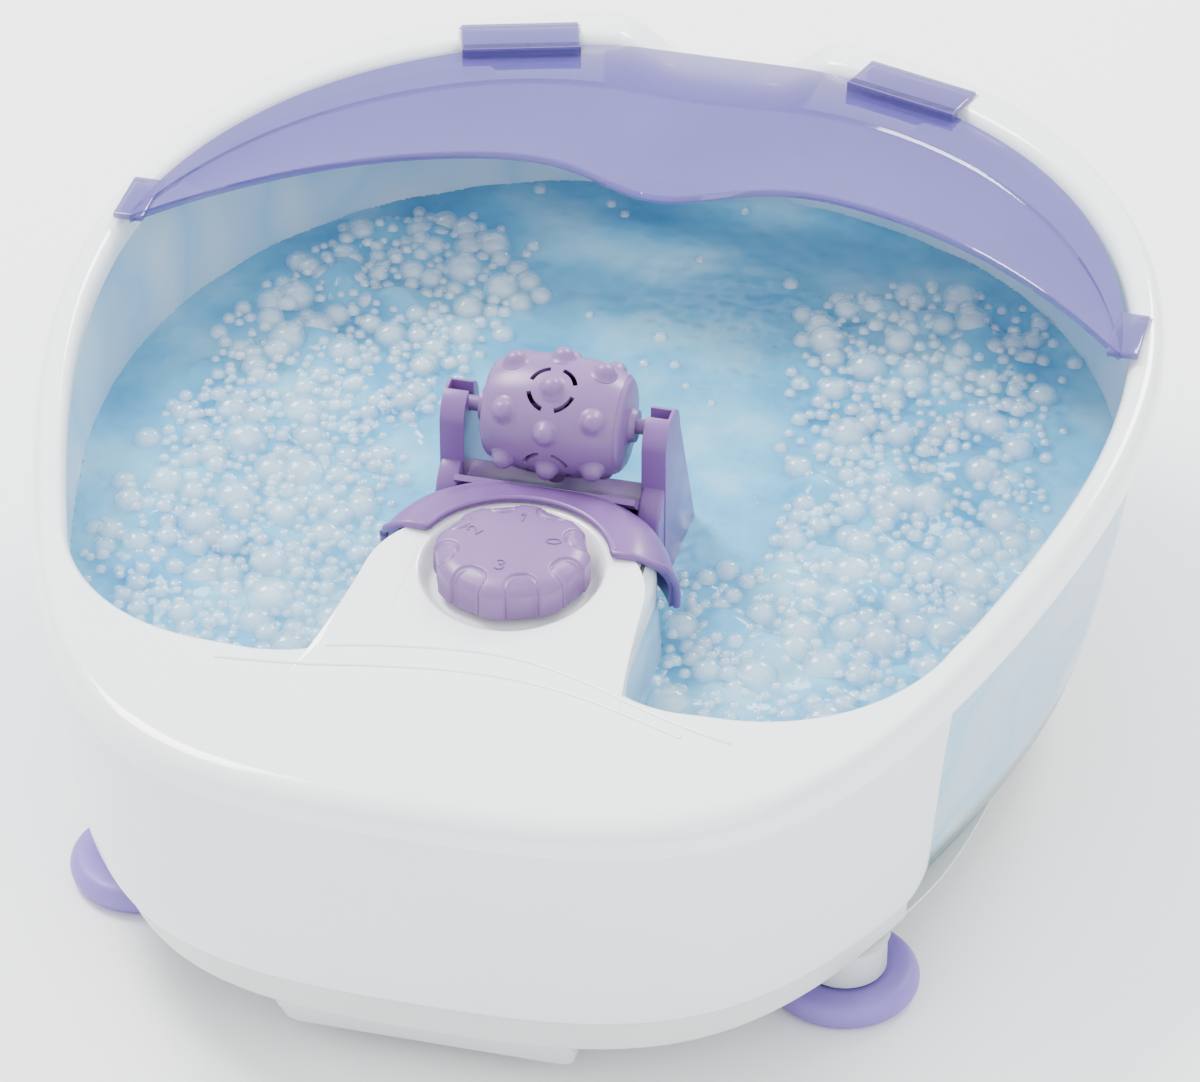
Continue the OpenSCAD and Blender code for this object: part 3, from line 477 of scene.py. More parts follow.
def floor_ribs():
    """Short ribs on both sides of the ridge between the heels."""
    ribs = []
    for k in range(RIB_ROWS):
        y = 14 + 13.5 * k
        for s in (1, -1):
            path = [(s * 8, y, WELL_FLOOR + 0.4), (s * 14, y + 1.5, WELL_FLOOR + 1.2),
                    (s * 22, y + 4.5, WELL_FLOOR + 0.4)]
            ribs.append(tube("rib", smooth_path(path, 5), 1.5, 8))
    x = np.array([-7, -5, -2, 2, 5, 7])
    lift = np.array([0, 2.4, 3.4, 3.4, 2.4, 0])
    rings = [np.column_stack([x, np.full(6, y), WELL_FLOOR - 0.6 + lift * f])
             for y, f in [(2, 0.2), (6, 0.8), (10, 1), (130, 1), (140, 0.6), (146, 0.2)]]
    ribs.append(loft("ridge", rings))
    return ribs


def build_tub():
    out = [0.02, 0.06, 0.1, 0.15, 0.2, 0.26, 0.33, 0.4, 0.48, 0.56, 0.64, 0.72, 0.8, 0.88, 0.93]
    rings = [tub_ring(0.1, WALL, 36), tub_ring(0, WALL, APRON_Z), tub_ring(0, 0, APRON_Z)]
    rings += [tub_ring(s, 0) for s in out] + [tub_ring(0.935, 0), tub_ring(1, 0)]
    rings += [tub_ring(1, WALL + 0.4), tub_ring(0.94, WALL + 0.4), tub_ring(0.88, WALL + 0.2)]
    rings += [tub_ring(s, WALL) for s in (0.8, 0.72, 0.64, 0.56, 0.48, 0.4, 0.32)]
    rings += [tub_ring(0.25, WALL + 0.5), tub_ring(0.22, WALL + 1.6, WELL_FLOOR + 6.5),
              tub_ring(0.2, WALL + 3, WELL_FLOOR + 4.4), tub_ring(0.19, WALL + 4.6, WELL_FLOOR + 2.8),
              tub_ring(0.18, WALL + 6.5, WELL_FLOOR + 1.5), tub_ring(0.17, WALL + 8.6, WELL_FLOOR + 0.5),
              tub_ring(0.16, WALL + 11, WELL_FLOOR)]
    return join([loft("tub_shell", rings)] + floor_ribs(), "tub_moulding")


def tub_material():
    """See-through blue-grey wall, cloudier where water stands behind it, with painted shade making it
    dark grey-green at the foot.
    """
    mat, nodes, links, bsdf = node_material("tub_plastic")
    clouds = noise_node(nodes, links, 14, 2)
    wall = ramp_node(nodes, links, clouds.outputs["Fac"],
                     [(0.36, (0.50, 0.66, 0.78)), (0.52, (0.30, 0.56, 0.78)),
                      (0.66, (0.60, 0.74, 0.80))])
    # Painted shade: below about 34 to 42 mm height the wall's colour blends to dark grey-green, standing
    # in for its shaded lower edge.
    coords = nodes.new("ShaderNodeTexCoord")
    split = nodes.new("ShaderNodeSeparateXYZ")
    links.new(coords.outputs["Object"], split.inputs["Vector"])
    height = nodes.new("ShaderNodeMapRange")
    height.inputs["From Min"].default_value = 0.034
    height.inputs["From Max"].default_value = 0.042
    links.new(split.outputs["Z"], height.inputs["Value"])
    painted_foot_shade = nodes.new("ShaderNodeMix")
    painted_foot_shade.data_type = "RGBA"
    links.new(height.outputs["Result"], painted_foot_shade.inputs["Factor"])
    painted_foot_shade.inputs["A"].default_value = (0.16, 0.25, 0.26, 1)
    links.new(wall.outputs["Color"], painted_foot_shade.inputs["B"])
    links.new(painted_foot_shade.outputs["Result"], bsdf.inputs["Base Color"])
    bsdf.inputs["Roughness"].default_value = 0.2
    bsdf.inputs["Alpha"].default_value = 0.86
    bsdf.inputs["Subsurface Weight"].default_value = 0.3
    bsdf.inputs["Subsurface Radius"].default_value = (0.004, 0.008, 0.012)
    return mat


# ---- Skirt, tray and feet -------------------------------------------------------------
SKIRT_PROFILE = [(8.9, 0), (8.6, 0.012), (7.6, 0.15), (6.6, 0.3), (5.4, 0.46), (4.2, 0.62),
                 (2.6, 0.8), (0.9, 0.97), (0.7, 1.0)]


def front_pt(phi, inset):
    return outer_pt(phi, inset) if phi >= -90 else outer_pt(-180 - phi, inset) * [-1, 1]


def build_skirt():
    """Panel below the deck, whose lower corners lift at both ends."""
    rings = []
    for phi in np.linspace(-36, -144, 241):
        end = min(abs(phi + 36), abs(phi + 144))
        low = 40 + 9 * max(0, 1 - end / 3.2) ** 2
        edge = 0.9 * max(0, 1 - end / 0.9) ** 2
        top = front_pt(phi, 0)
        high = rim_z(top[0], top[1]) - LIP - 0.35
        loop = [(inset + edge, f) for inset, f in SKIRT_PROFILE]
        loop += [(inset + 2.2, f) for inset, f in reversed(SKIRT_PROFILE)]
        ring = []
        for inset, f in loop:
            p = front_pt(phi, inset)
            ring.append((p[0], p[1], mix(low, high, f)))
        rings.append(np.array(ring))
    return loft("front_panel", rings)


FEET = {"foot_front_left": (-115, -119), "foot_front_right": (115, -119),
        "foot_rear_left": (-92, 118), "foot_rear_right": (92, 118)}


def tray_outline(drop):
    """Full outline of the tray, set in by drop more than at its foot."""
    half = []
    for phi in np.linspace(90, -90, 121):
        inset = mix(25.5, 17, float(ease((-phi - 14) / 20))) + drop
        half.append(outer_pt(phi, inset))
    return np.array(half + [p * [-1, 1] for p in half[-2:0:-1]])


def build_tray():
    """Floor plate, band behind the skirt, front ledge and the posts of the feet."""
    def ring(drop, z):
        o = tray_outline(drop)
        return np.column_stack([o, np.full(len(o), z)])
    plate = loft("plate", [ring(3.4, 22), ring(1.5, 22.15), ring(0.5, 22.9), ring(0.1, 24),
                           ring(0.1, 24.5), ring(3, 24.5)])
    rings = []
    profile = [(17, 23), (16.3, 25), (15.4, 31), (14.6, 38), (14.2, 44)]
    for phi in np.linspace(-37, -143, 161):
        loop = profile + [(a + 2.2, z) for a, z in reversed(profile)]
        rings.append(np.array([(*front_pt(phi, a), z) for a, z in loop]))
    parts = [plate, loft("band", rings)]
    side = [(-196.5, 23), (-194, 19), (-190.5, 11.5), (-189, 9.6), (-187, 8.2), (-184.5, 8),
            (-163, 8), (-160, 9), (-152, 23)]
    rings = []
    for x in (-47, -46.6, -45.4, -43.4, -40.6, -37.5, 37.5, 40.6, 43.4, 45.4, 46.6, 47):
        lift = 9.5 * (1 - math.sqrt(max(0, 1 - ((abs(x) - 37.5) / 9.5) ** 2)))
        rings.append(np.array([(x, y, min(23, max(z, 8 + lift))) for y, z in side]))
    parts.append(loft("ledge", rings))
    for x, y in FEET.values():
        parts.append(lathe("post", [(0, 9.5), (13.2, 9.5), (13.5, 10), (13.5, 20), (14.4, 22.4),
                                    (0, 22.4)], (x, y, 0), n=64))
    return join(parts, "tray")


def foot_profile():
    arc = [(20 + 4 * math.cos(t), 4.75 + 4.75 * math.sin(t))
           for t in np.radians(np.linspace(-75, 75, 13))]
    return ([(2.2, 3.8), (5.5, 3.8), (5.5, 1.2), (8, 0), (21, 0)] + arc
            + [(19, 9.5), (15.2, 9.4), (14.6, 9.0), (2.2, 9.0)])


# ---- Splash guard ---------------------------------------------------------------------
GUARD_Z = 139.6
TIP_X = 166.0
# Along a section from the outer edge (0) to the wavy edge (1): the top's height
GUARD_TOP = [(0.0, 1.4), (0.004, 2.0), (0.012, 2.4), (0.30, 2.4), (0.315, 1.5), (0.33, 1.3),
             (0.9, 1.3), (0.955, 1.4), (0.968, 2.3), (0.98, 2.8), (0.99, 2.6), (1.0, 1.6)]
GUARD_UNDER = [(1.0, 0.6), (0.99, 0.1), (0.98, 0.0), (0.5, 0.0), (0.01, 0.0), (0.0, 0.5)]


def guard_outer(phi):
    p = egg(IN_HALF_W - 2, IN_FRONT_L, IN_REAR_L - 2, phi)
    return np.array([p[0], min(p[1], 192)])


def guard_inner(x):
    return np.array([x, 43 + 73 * (1 - (abs(x) / TIP_X) ** 2.6) - 19 * math.exp(-(x / 30) ** 2)])


def build_guard():
    rings = []
    for t in np.linspace(-1, 1, 161):
        a = guard_outer(90 - 85 * abs(t))
        a = a * [math.copysign(1, t), 1]
        b = guard_inner(TIP_X * t)
        rings.append(np.array([(*mix(a, b, f), GUARD_Z + h) for f, h in GUARD_TOP + GUARD_UNDER]))
    parts = [loft("crescent", rings)]
    for s in (1, -1):
        parts.append(box_at("riser", (41, 3.5, 5.8), (s * 67.1, 176.2, 142.5), -17 * s))
        parts.append(box_at("tab", (41, 17.5, 2.0), (s * 69.2, 182.8, 144.4), -17 * s, 0, 0.7))
        parts.append(box_at("tab_side", (10.5, 24, 2.4), (s * 167.2, 56, 140.8), 0, 0, 0.8))
    return join(parts, "guard")


# ---- Knob -----------------------------------------------------------------------------
KNOB_R, KNOB_H = 24.7, 10.5
GRIP_HALF_W, GRIP_END = 5.2, 16.8
SHOULDER, SIDE_RUN = 17.0, 26.0
DIGITS = {
    "1": [[(-0.8, 1.2), (0.3, 2.2), (0.3, -2.2)]],
    "2": [[(-1.3, 1.2), (-0.9, 2.0), (0.1, 2.3), (1.1, 1.9), (1.3, 1.0), (0.7, 0), (-1.4, -2.2),
           (1.5, -2.2)]],
    "3": [[(-1.2, 1.7), (-0.4, 2.3), (0.7, 2.2), (1.2, 1.3), (0.7, 0.4), (-0.2, 0.2), (0.8, 0),
           (1.4, -1.0), (0.9, -2.0), (-0.2, -2.3), (-1.3, -1.7)]],
    "0": [[(1.3 * math.cos(t), 2.3 * math.sin(t)) for t in np.linspace(0, 2 * math.pi, 25)]]}
DIGIT_SPOTS = {"1": (0, 13.5, 0), "2": (-13, 3.5, 60), "0": (12.5, 3.5, -75), "3": (-0.5, -12.5, 0)}


def knob_height(r):
    """Dome of the knob's top above its base, and the radius, for a run r along the profile."""
    top = rim_z(0.0, KNOB_Y) + KNOB_H
    if r <= SHOULDER:
        return r, top - 0.4 * (r / SHOULDER) ** 2
    if r <= SIDE_RUN:
        a = (r - SHOULDER) / (SIDE_RUN - SHOULDER) * math.pi / 2
        return SHOULDER + (KNOB_R - SHOULDER) * math.sin(a), top - 0.4 - 4.6 * (1 - math.cos(a))
    return KNOB_R, top - 5.0 - (r - SIDE_RUN)


def build_knob():
    """Cap with eight grips scooped from its side, and the raised numbers 0 to 3."""
    n = 480
    runs = np.concatenate([np.linspace(0.01, 14, 24), np.linspace(14.3, 26, 50),
                           np.linspace(26.4, 33.3, 16)])
    angles = np.linspace(0, 2 * math.pi, n, endpoint=False)
    rings = []
    for run in runs:
        r, z = knob_height(run)
        off = np.degrees(angles) % 45 - 22.5
        side = np.abs(np.radians(off)) * max(r, 1)
        along = GRIP_END + GRIP_HALF_W - run
        d = np.where(along > 0, np.hypot(side, along), side) - GRIP_HALF_W
        groove = 0.8 * np.exp(-(d / 0.45) ** 2)
        scoop = 1.1 * ease(-d / 1.6) * ease((run - GRIP_END) / 5)
        depth = (groove + scoop) * ease((run - 13) / 3)
        turned = np.clip((run - SHOULDER) / (SIDE_RUN - SHOULDER), 0, 1)
        slope = math.sin(turned * math.pi / 2)
        rr, zz = r - depth * slope, z - depth * (1 - slope * 0.8)
        rings.append(np.column_stack([rr * np.cos(angles), KNOB_Y + rr * np.sin(angles), zz]))
    base = rings[-1]
    centre = np.array([0, KNOB_Y, base[0, 2]])
    rings.append(np.column_stack([centre[:2] + (base[:, :2] - centre[:2]) * 0.2, base[:, 2]]))
    parts = [loft("knob_cap", rings, smooth=50)]
    for digit, (x, y, turn) in DIGIT_SPOTS.items():
        c, s = math.cos(math.radians(turn)), math.sin(math.radians(turn))
        for stroke in DIGITS[digit]:
            path = []
            for u, v in stroke:
                px, py = x + u * c - v * s, y + u * s + v * c
                path.append((px, KNOB_Y + py, knob_height(math.hypot(px, py))[1] + 0.1))
            parts.append(tube("digit", path, 0.3, 6))
    return join(parts, "dial")


# ---- Roller and stand -----------------------------------------------------------------
BARREL_END = 21.0
SLOT_R, SLOT_W = 7.4, 1.5
NUB_PHASE = 30


def barrel(x):
    return ROLLER_R - 4.6 * (abs(x) / 23.0) ** 2.6


def nub(x, angle):
    """Cone with a rounded tip and a flared foot, standing on the barrel."""
    profile = [(0, -1.5), (4.7, -1.5), (4.7, -0.4), (4.1, 0), (3.6, 0.6), (3.2, 1.3),
               (2.8, 2.0), (2.3, 2.6), (1.6, 3.05), (0.8, 3.3), (0, 3.35)]
    obj = lathe("nub", profile, n=24, smooth=180)
    lean = math.atan2(barrel(x + 0.5) - barrel(x - 0.5), 1.0)
    move = (Matrix.Rotation(math.radians(angle), 4, "X")
            @ Matrix.Translation(Vector((x, 0, barrel(x))) * MM) @ Matrix.Rotation(-lean, 4, "Y"))
    obj.data.transform(move)
    return obj


def slot_cutters(angle):
    cutters = []
    for k in range(4):
        mid = 45 + 90 * k
        arc = [(SLOT_R * math.cos(math.radians(mid + t)), SLOT_R * math.sin(math.radians(mid + t)))
               for t in np.linspace(-29, 29, 11)]
        low = np.array([unit(np.array(p)) * (SLOT_R - SLOT_W / 2) for p in arc])
        high = np.array([unit(np.array(p)) * (SLOT_R + SLOT_W / 2) for p in arc])
        outline = np.concatenate([low, high[::-1]])
        c = slab("slot", outline, ROLLER_R - 4, ROLLER_R + 3)
        c.data.transform(Matrix.Rotation(math.radians(angle), 4, "X"))
        cutters.append(c)
    return cutters


def build_roller():
    xs = np.linspace(-BARREL_END, BARREL_END, 41)
    profile = [(barrel(x), x) for x in xs] + [(barrel(x) - 2, x) for x in xs[::-1]]
    shell = lathe("barrel", profile, n=128, axis="X")
    cutters = []
    for k in range(0, 8, 2):
        cutters += slot_cutters(NUB_PHASE + 45 * k)
    cut(shell, [join(cutters, "slots")])
    nubs = [nub(0, NUB_PHASE + 45 * k) for k in range(8)]
    nubs += [nub(x, 58 + 60 * k) for k in range(6) for x in (-14.5, 14.5)]
    body = join([shell] + nubs, "roller_barrel")
    body.data.shade_smooth()
    body.data.set_sharp_from_angle(angle=math.radians(40))
    body.data.transform(Matrix.Translation(Vector((0, ROLLER_Y, ROLLER_Z)) * MM))
    return body


def cap_profile(s):
    r = barrel(BARREL_END)
    pts = [(2.5, 16), (5, 16), (5, 20.8), (r - 0.4, 21.02), (r - 0.9, 21.9), (r - 2.2, 22.6),
           (r - 4.2, 23.0), (8, 23.3), (6, 23.6), (5.4, 24.4), (5.2, 25.5), (2.5, 25.5)]
    return [(a, s * h) for a, h in pts]


ARM_X, ARM_T = 29.0, 8.0
TROUGH_R = 24.2


def arm_outline():
    """Side view of an arm as (y, z): upright front, rounded head, slanted back."""
    head = [(ROLLER_Y + 9.5 * math.cos(t), ROLLER_Z - 3 + 9.5 * math.sin(t))
            for t in np.radians(np.linspace(0, 180, 25))]
    return head + [(ROLLER_Y - 9.5, 54), (-22, 38.9), (10, 38.9), (4, 80)]


def build_arm(s):
    outline = np.array(arm_outline())
    low = np.column_stack([np.full(len(outline), s * ARM_X), outline])
    high = np.column_stack([np.full(len(outline), s * (ARM_X + ARM_T)), outline])
    arm = loft("arm", [low, high])
    notch = box_at("notch", (12, 5.2, 14), (s * (ARM_X + 1.0), ROLLER_Y, ROLLER_Z + 5.2))
    cut(arm, [notch])
    soften(arm, 2.4, 5)
    return arm


# Rings of the hood, hem upwards: how far outside the tongue, height, y of the front ends
HEM = [(6.4, 97.5, -64), (6.4, 100.5, -64.6), (6.2, 105, -66), (5.6, 109.5, -68),
       (4.4, 113.6, -70.5), (2.4, 117.4, -73), (-0.4, 120.4, -75.5), (-3.6, 122.8, -77.2),
       (-7, 124.3, -78)]
HEM_POINTS = 97
FRONT_R = 31.8


def mirror_path(half):
    return np.array(half + [(-x, y) for x, y in half[-2::-1]])


def hem_path(grow, end_y):
    """Open plan path round the tongue's end, from the left front to the right front."""
    r, arc_y = 34 + grow, NOSE_Y - 34
    start = 180 - math.degrees(math.asin((end_y - arc_y) / r))
    half = [(r * math.cos(a) - (TONGUE - 34), arc_y + r * math.sin(a))
            for a in np.radians(np.linspace(start, 90, HEM_POINTS // 2, endpoint=False))]
    return mirror_path(half + [(0, arc_y + r)])


def front_path():
    """The hood's front edge follows a circle round the knob."""
    start = 180 - math.degrees(math.asin((HEM[-1][2] - KNOB_Y) / FRONT_R))
    return mirror_path([(FRONT_R * math.cos(a), KNOB_Y + FRONT_R * math.sin(a))
                        for a in np.radians(np.linspace(start, 90, HEM_POINTS // 2 + 1))])


def hood_rings(lower):
    """Rings from the hem up the side, over the shoulder and in to the front edge."""
    rings = []
    for grow, z, end_y in HEM:
        p = hem_path(grow - lower, end_y)
        rings.append(np.column_stack([p, np.full(len(p), z - lower)]))
    last, q = rings[-1], front_path()
    front = np.column_stack([q, rim_z(q[:, 0], q[:, 1]) + 2.6 - lower])
    return rings + [mix(last, front, f) for f in (0.35, 0.7, 1.0)]


def build_hood():
    """Draped plate over the tongue's end, cut away under the roller, with a beaded hem."""
    over, under = hood_rings(0.0), hood_rings(2.2)
    hood = loft("hood", over + under[::-1], looped=True, closed=False, caps=False, smooth=60)
    for side in (0, -1):
        rim = [r[side] for r in over] + [r[side] for r in under[::-1]]
        cap = new_object("hood_end", rim, [tuple(range(len(rim)))])
        hood = join([hood, cap], "hood")
    weld(hood)
    roll = lathe("roll", [(0, 0.5 - ARM_X), (TROUGH_R, 0.5 - ARM_X), (TROUGH_R, ARM_X - 0.5),
                          (0, ARM_X - 0.5)], (0, ROLLER_Y, ROLLER_Z), 128, "X")
    cut(hood, [roll])
    edge = [r[0] for r in over] + list(over[-1][1:-1]) + [r[-1] for r in over[::-1]]
    return [hood, tube("bead", np.array(edge) - [0, 0, 0.9], 1.35, 10)]


def build_trough():
    """Curved plate under the roller that joins the hood, the web and the arms."""
    rings = []
    for a in np.radians(np.linspace(-52.5, 8, 24)):
        row = []
        for r in (TROUGH_R, TROUGH_R + 2):
            y, z = ROLLER_Y + r * math.sin(a), ROLLER_Z - r * math.cos(a)
            row += [(-ARM_X - 0.5, y, z), (ARM_X + 0.5, y, z)]
        rings.append(np.array([row[0], row[1], row[3], row[2]]))
    return loft("trough", rings)


GUSSET = [(-36, 97.5), (-47, 97.5), (-47, 113), (-44.5, 117.5), (-41, 120.5), (-37, 122.5)]


def build_gussets():
    """Webs that join the hood's sides to the arms."""
    gussets = []
    for s in (1, -1):
        near, far = (np.column_stack([np.full(len(GUSSET), s * (ARM_X + x)), GUSSET])
                     for x in (0.3, ARM_T - 0.3))
        gusset = loft("gusset", [near, far])
        soften(gusset, 1.0)
        gussets.append(gusset)
    return gussets


def build_stand():
    web = box_at("web", (2 * ARM_X + 1, 2.5, 60), (0, ROLLER_Y - 6.75, 84.5))
    foot = box_at("sole", (2 * ARM_X + 1, 26, 4), (0, -7, 40.9), 0, 0, 0.8)
    parts = build_hood() + [build_trough(), web, foot, build_arm(1), build_arm(-1)]
    return join(parts + build_gussets(), "stand_moulding")


# ---- Water ----------------------------------------------------------------------------
# Where the air comes up, as (x, y) along the middle of each foot well, and how wide it is
FOAM_LINE = [(58, -70), (90, -104), (104, -60), (106, 0), (100, 60), (88, 112)]
FOAM_HALF_W = 42.0


def water_outline():
    s = (WATER_Z - APRON_Z) / (tub_top() - APRON_Z)
    bulge = mix(-5 + 8.4 * s, -12 + 21 * s ** 0.65, SIDE_WEIGHT) - WALL
    return WELL + NORMALS * (bulge - 0.02)[:, None]


def foam_amount(x, y):
    """1 in the middle of the rising air, falling to 0 in still water."""
    x = np.abs(x)
    best = np.full(np.shape(x), 1e9)
    for (x0, y0), (x1, y1) in zip(FOAM_LINE, FOAM_LINE[1:]):
        dx, dy = x1 - x0, y1 - y0
        t = np.clip(((x - x0) * dx + (y - y0) * dy) / (dx * dx + dy * dy), 0, 1)
        best = np.minimum(best, np.hypot(x - x0 - t * dx, y - y0 - t * dy))
    return ease((FOAM_HALF_W + 8 - best) / 22)


def inside(points, outline):
    hit = np.zeros(len(points), bool)
    x, y = points[:, 0], points[:, 1]
    for (x0, y0), (x1, y1) in zip(outline, np.roll(outline, -1, 0)):
        if y0 == y1:
            continue
        crosses = (y0 > y) != (y1 > y)
        hit ^= crosses & (x < (x1 - x0) * (y - y0) / (y1 - y0) + x0)
    return hit


def build_water():
    outline = water_outline()
    grown = outline + NORMALS * 1.2
    step = 1.5
    xs, ys = np.arange(-172, 172.1, step), np.arange(-152, 206, step)
    gx, gy = np.meshgrid(xs, ys)
    foam = foam_amount(gx, gy)
    rng = np.random.default_rng(5)
    z = np.zeros_like(gx)
    for _ in range(26):
        kx, ky, ph = rng.normal(0, 0.16), rng.normal(0, 0.16), rng.uniform(0, 6.3)
        z += np.sin(gx * kx + gy * ky + ph)
    z = WATER_Z + z * (0.06 + 0.42 * foam)
    verts = np.column_stack([gx.ravel(), gy.ravel(), z.ravel()])
    keep = inside(verts[:, :2], grown)
    n = len(xs)
    faces = [f for f in grid_faces(len(ys), n, False, False) if all(keep[i] for i in f)]
    used = np.unique(np.array(faces))
    order = np.zeros(len(verts), int)
    order[used] = np.arange(len(used))
    faces = [tuple(order[list(f)]) for f in faces]
    return new_object("water", verts[used], faces, 180)


def dome(sub):
    bm = bmesh.new()
    bmesh.ops.create_icosphere(bm, subdivisions=sub, radius=1)
    low = [v for v in bm.verts if v.co.z < -0.35]
    bmesh.ops.delete(bm, geom=low, context="VERTS")
    bm.verts.ensure_lookup_table()
    verts = np.array([v.co for v in bm.verts])
    faces = [[v.index for v in f.verts] for f in bm.faces]
    bm.free()
    return verts, faces


def build_bubbles(count=1500):
    """Domes that crowd where the air rises. The order of the random draws fixes the result."""
    outline = water_outline()
    shapes = {2: dome(2), 3: dome(3)}
    placed, verts, faces = [], [], []
    tries = 0
    while len(placed) < count and tries < 60000:
        tries += 1
        x, y = random.uniform(-168, 168), random.uniform(-150, 190)
        amount = float(foam_amount(np.array(x), np.array(y)))
        if random.random() > amount ** 1.5 + 0.004:
            continue
        r = 1.8 + 6.2 * random.random() ** 2.0 * (0.3 + 0.7 * amount)
        if any((x - a) ** 2 + (y - b) ** 2 < (0.66 * (r + c)) ** 2 for a, b, c in placed):
            continue
        ring = np.array([(x + r * math.cos(t), y + r * math.sin(t))
                         for t in np.linspace(0, 6.28, 6, endpoint=False)])
        if not inside(ring, outline).all():
            continue
        placed.append((x, y, r))
        v, f = shapes[3 if r > 4.2 else 2]
        lift = WATER_Z + amount * random.uniform(0, 3.5)
        start = sum(len(a) for a in verts)
        verts.append(v * [r, r, r * 0.82] + [x, y, lift])
        faces += [[start + i for i in face] for face in f]
    return new_object("bubbles", np.concatenate(verts), faces, 180)


def water_material():
    mat, nodes, links, bsdf = node_material("pool_water")
    broad = noise_node(nodes, links, 22, 3)
    tint = ramp_node(nodes, links, broad.outputs["Fac"],
                     [(0.3, (0.05, 0.31, 0.58)), (0.5, (0.13, 0.47, 0.72)),
                      (0.72, (0.36, 0.69, 0.86))])
    links.new(tint.outputs["Color"], bsdf.inputs["Base Color"])
    coords = nodes.new("ShaderNodeTexCoord")
    cells = nodes.new("ShaderNodeTexVoronoi")
    cells.feature = "SMOOTH_F1"
    cells.inputs["Scale"].default_value = 150
    links.new(coords.outputs["Object"], cells.inputs["Vector"])
    ripples = nodes.new("ShaderNodeBump")
    ripples.invert = True
    ripples.inputs["Strength"].default_value = 0.7
    ripples.inputs["Distance"].default_value = 0.002
    links.new(cells.outputs["Distance"], ripples.inputs["Height"])
    links.new(ripples.outputs["Normal"], bsdf.inputs["Normal"])
    bsdf.inputs["Roughness"].default_value = 0.06
    bsdf.inputs["Alpha"].default_value = 0.8
    bsdf.inputs["IOR"].default_value = 1.33
    return mat


def bubble_material():
    """Thin film: a painted pale sheen on top where it faces the camera, clear further out, and painted
    deep-blue shade round the rim.
    """
    mat, nodes, links, bsdf = node_material("bubble_film")
    facing = nodes.new("ShaderNodeLayerWeight")
    facing.inputs["Blend"].default_value = 0.35
    cover = ramp_node(nodes, links, facing.outputs["Facing"],
                      [(0.0, (0.42,) * 3), (0.4, (0.2,) * 3), (0.8, (0.78,) * 3)])
    links.new(cover.outputs["Color"], bsdf.inputs["Alpha"])
    noise = noise_node(nodes, links, 90, 2)
    # Painted sheen and painted shade: the colour goes from near white where the film faces the camera to
    # deep blue at its grazing rim, for dark outlines.
    tint = ramp_node(nodes, links, facing.outputs["Facing"],
                     [(0.1, (0.88, 0.96, 1.0)), (0.45, (0.42, 0.72, 0.88)),
                      (0.85, (0.05, 0.27, 0.52))])
    links.new(tint.outputs["Color"], bsdf.inputs["Base Color"])
    film = nodes.new("ShaderNodeBump")
    film.inputs["Strength"].default_value = 0.2
    film.inputs["Distance"].default_value = 0.0004
    links.new(noise.outputs["Fac"], film.inputs["Height"])
    links.new(film.outputs["Normal"], bsdf.inputs["Normal"])
    bsdf.inputs["Roughness"].default_value = 0.04
    bsdf.inputs["IOR"].default_value = 1.6
    bsdf.inputs["Coat Weight"].default_value = 1.0
    bsdf.inputs["Coat Roughness"].default_value = 0.02
    return mat


# ---- Stage ----------------------------------------------------------------------------
def add_light(name, size, energy, place, look=(0, 0, 0.1)):
    data = bpy.data.lights.new(name, "AREA")
    data.shape, data.size, data.energy = "SQUARE", size, energy
    lamp = bpy.data.objects.new(name, data)
    bpy.context.collection.objects.link(lamp)
    lamp.location = place
    lamp.rotation_euler = (Vector(look) - Vector(place)).to_track_quat("-Z", "Y").to_euler()
    return lamp


def add_stage():
    world = bpy.data.worlds.new("studio")
    bpy.context.scene.world = world
    world.use_nodes = True
    world.node_tree.nodes["Background"].inputs["Color"].default_value = (0.96, 0.98, 1, 1)
    world.node_tree.nodes["Background"].inputs["Strength"].default_value = 2.0
    bpy.ops.mesh.primitive_plane_add(size=8, location=(0, 0, -0.0002))
    floor = bpy.context.object
    floor.name = "floor"
    floor.data.materials.append(surface("floor_paint", (0.93, 0.93, 0.93), 0.7, 0.01, 3, 0.0))
    add_light("key", 0.6, 40, (-0.8, 0.3, 1.4))
    add_light("fill", 0.9, 7, (1.2, -0.9, 1.0))
    add_light("back", 0.5, 26, (0.5, 1.2, 1.2))


# ---- Assembly -------------------------------------------------------------------------
WHITE, SKIRT_WHITE, TRAY_GREY = (0.90, 0.92, 0.94), (0.80, 0.83, 0.85), (0.66, 0.70, 0.70)
LILAC, STAND_LILAC, GUARD_VIOLET = (0.19, 0.10, 0.275), (0.165, 0.075, 0.265), (0.095, 0.07, 0.31)
FOOT_VIOLET = (0.20, 0.14, 0.48)
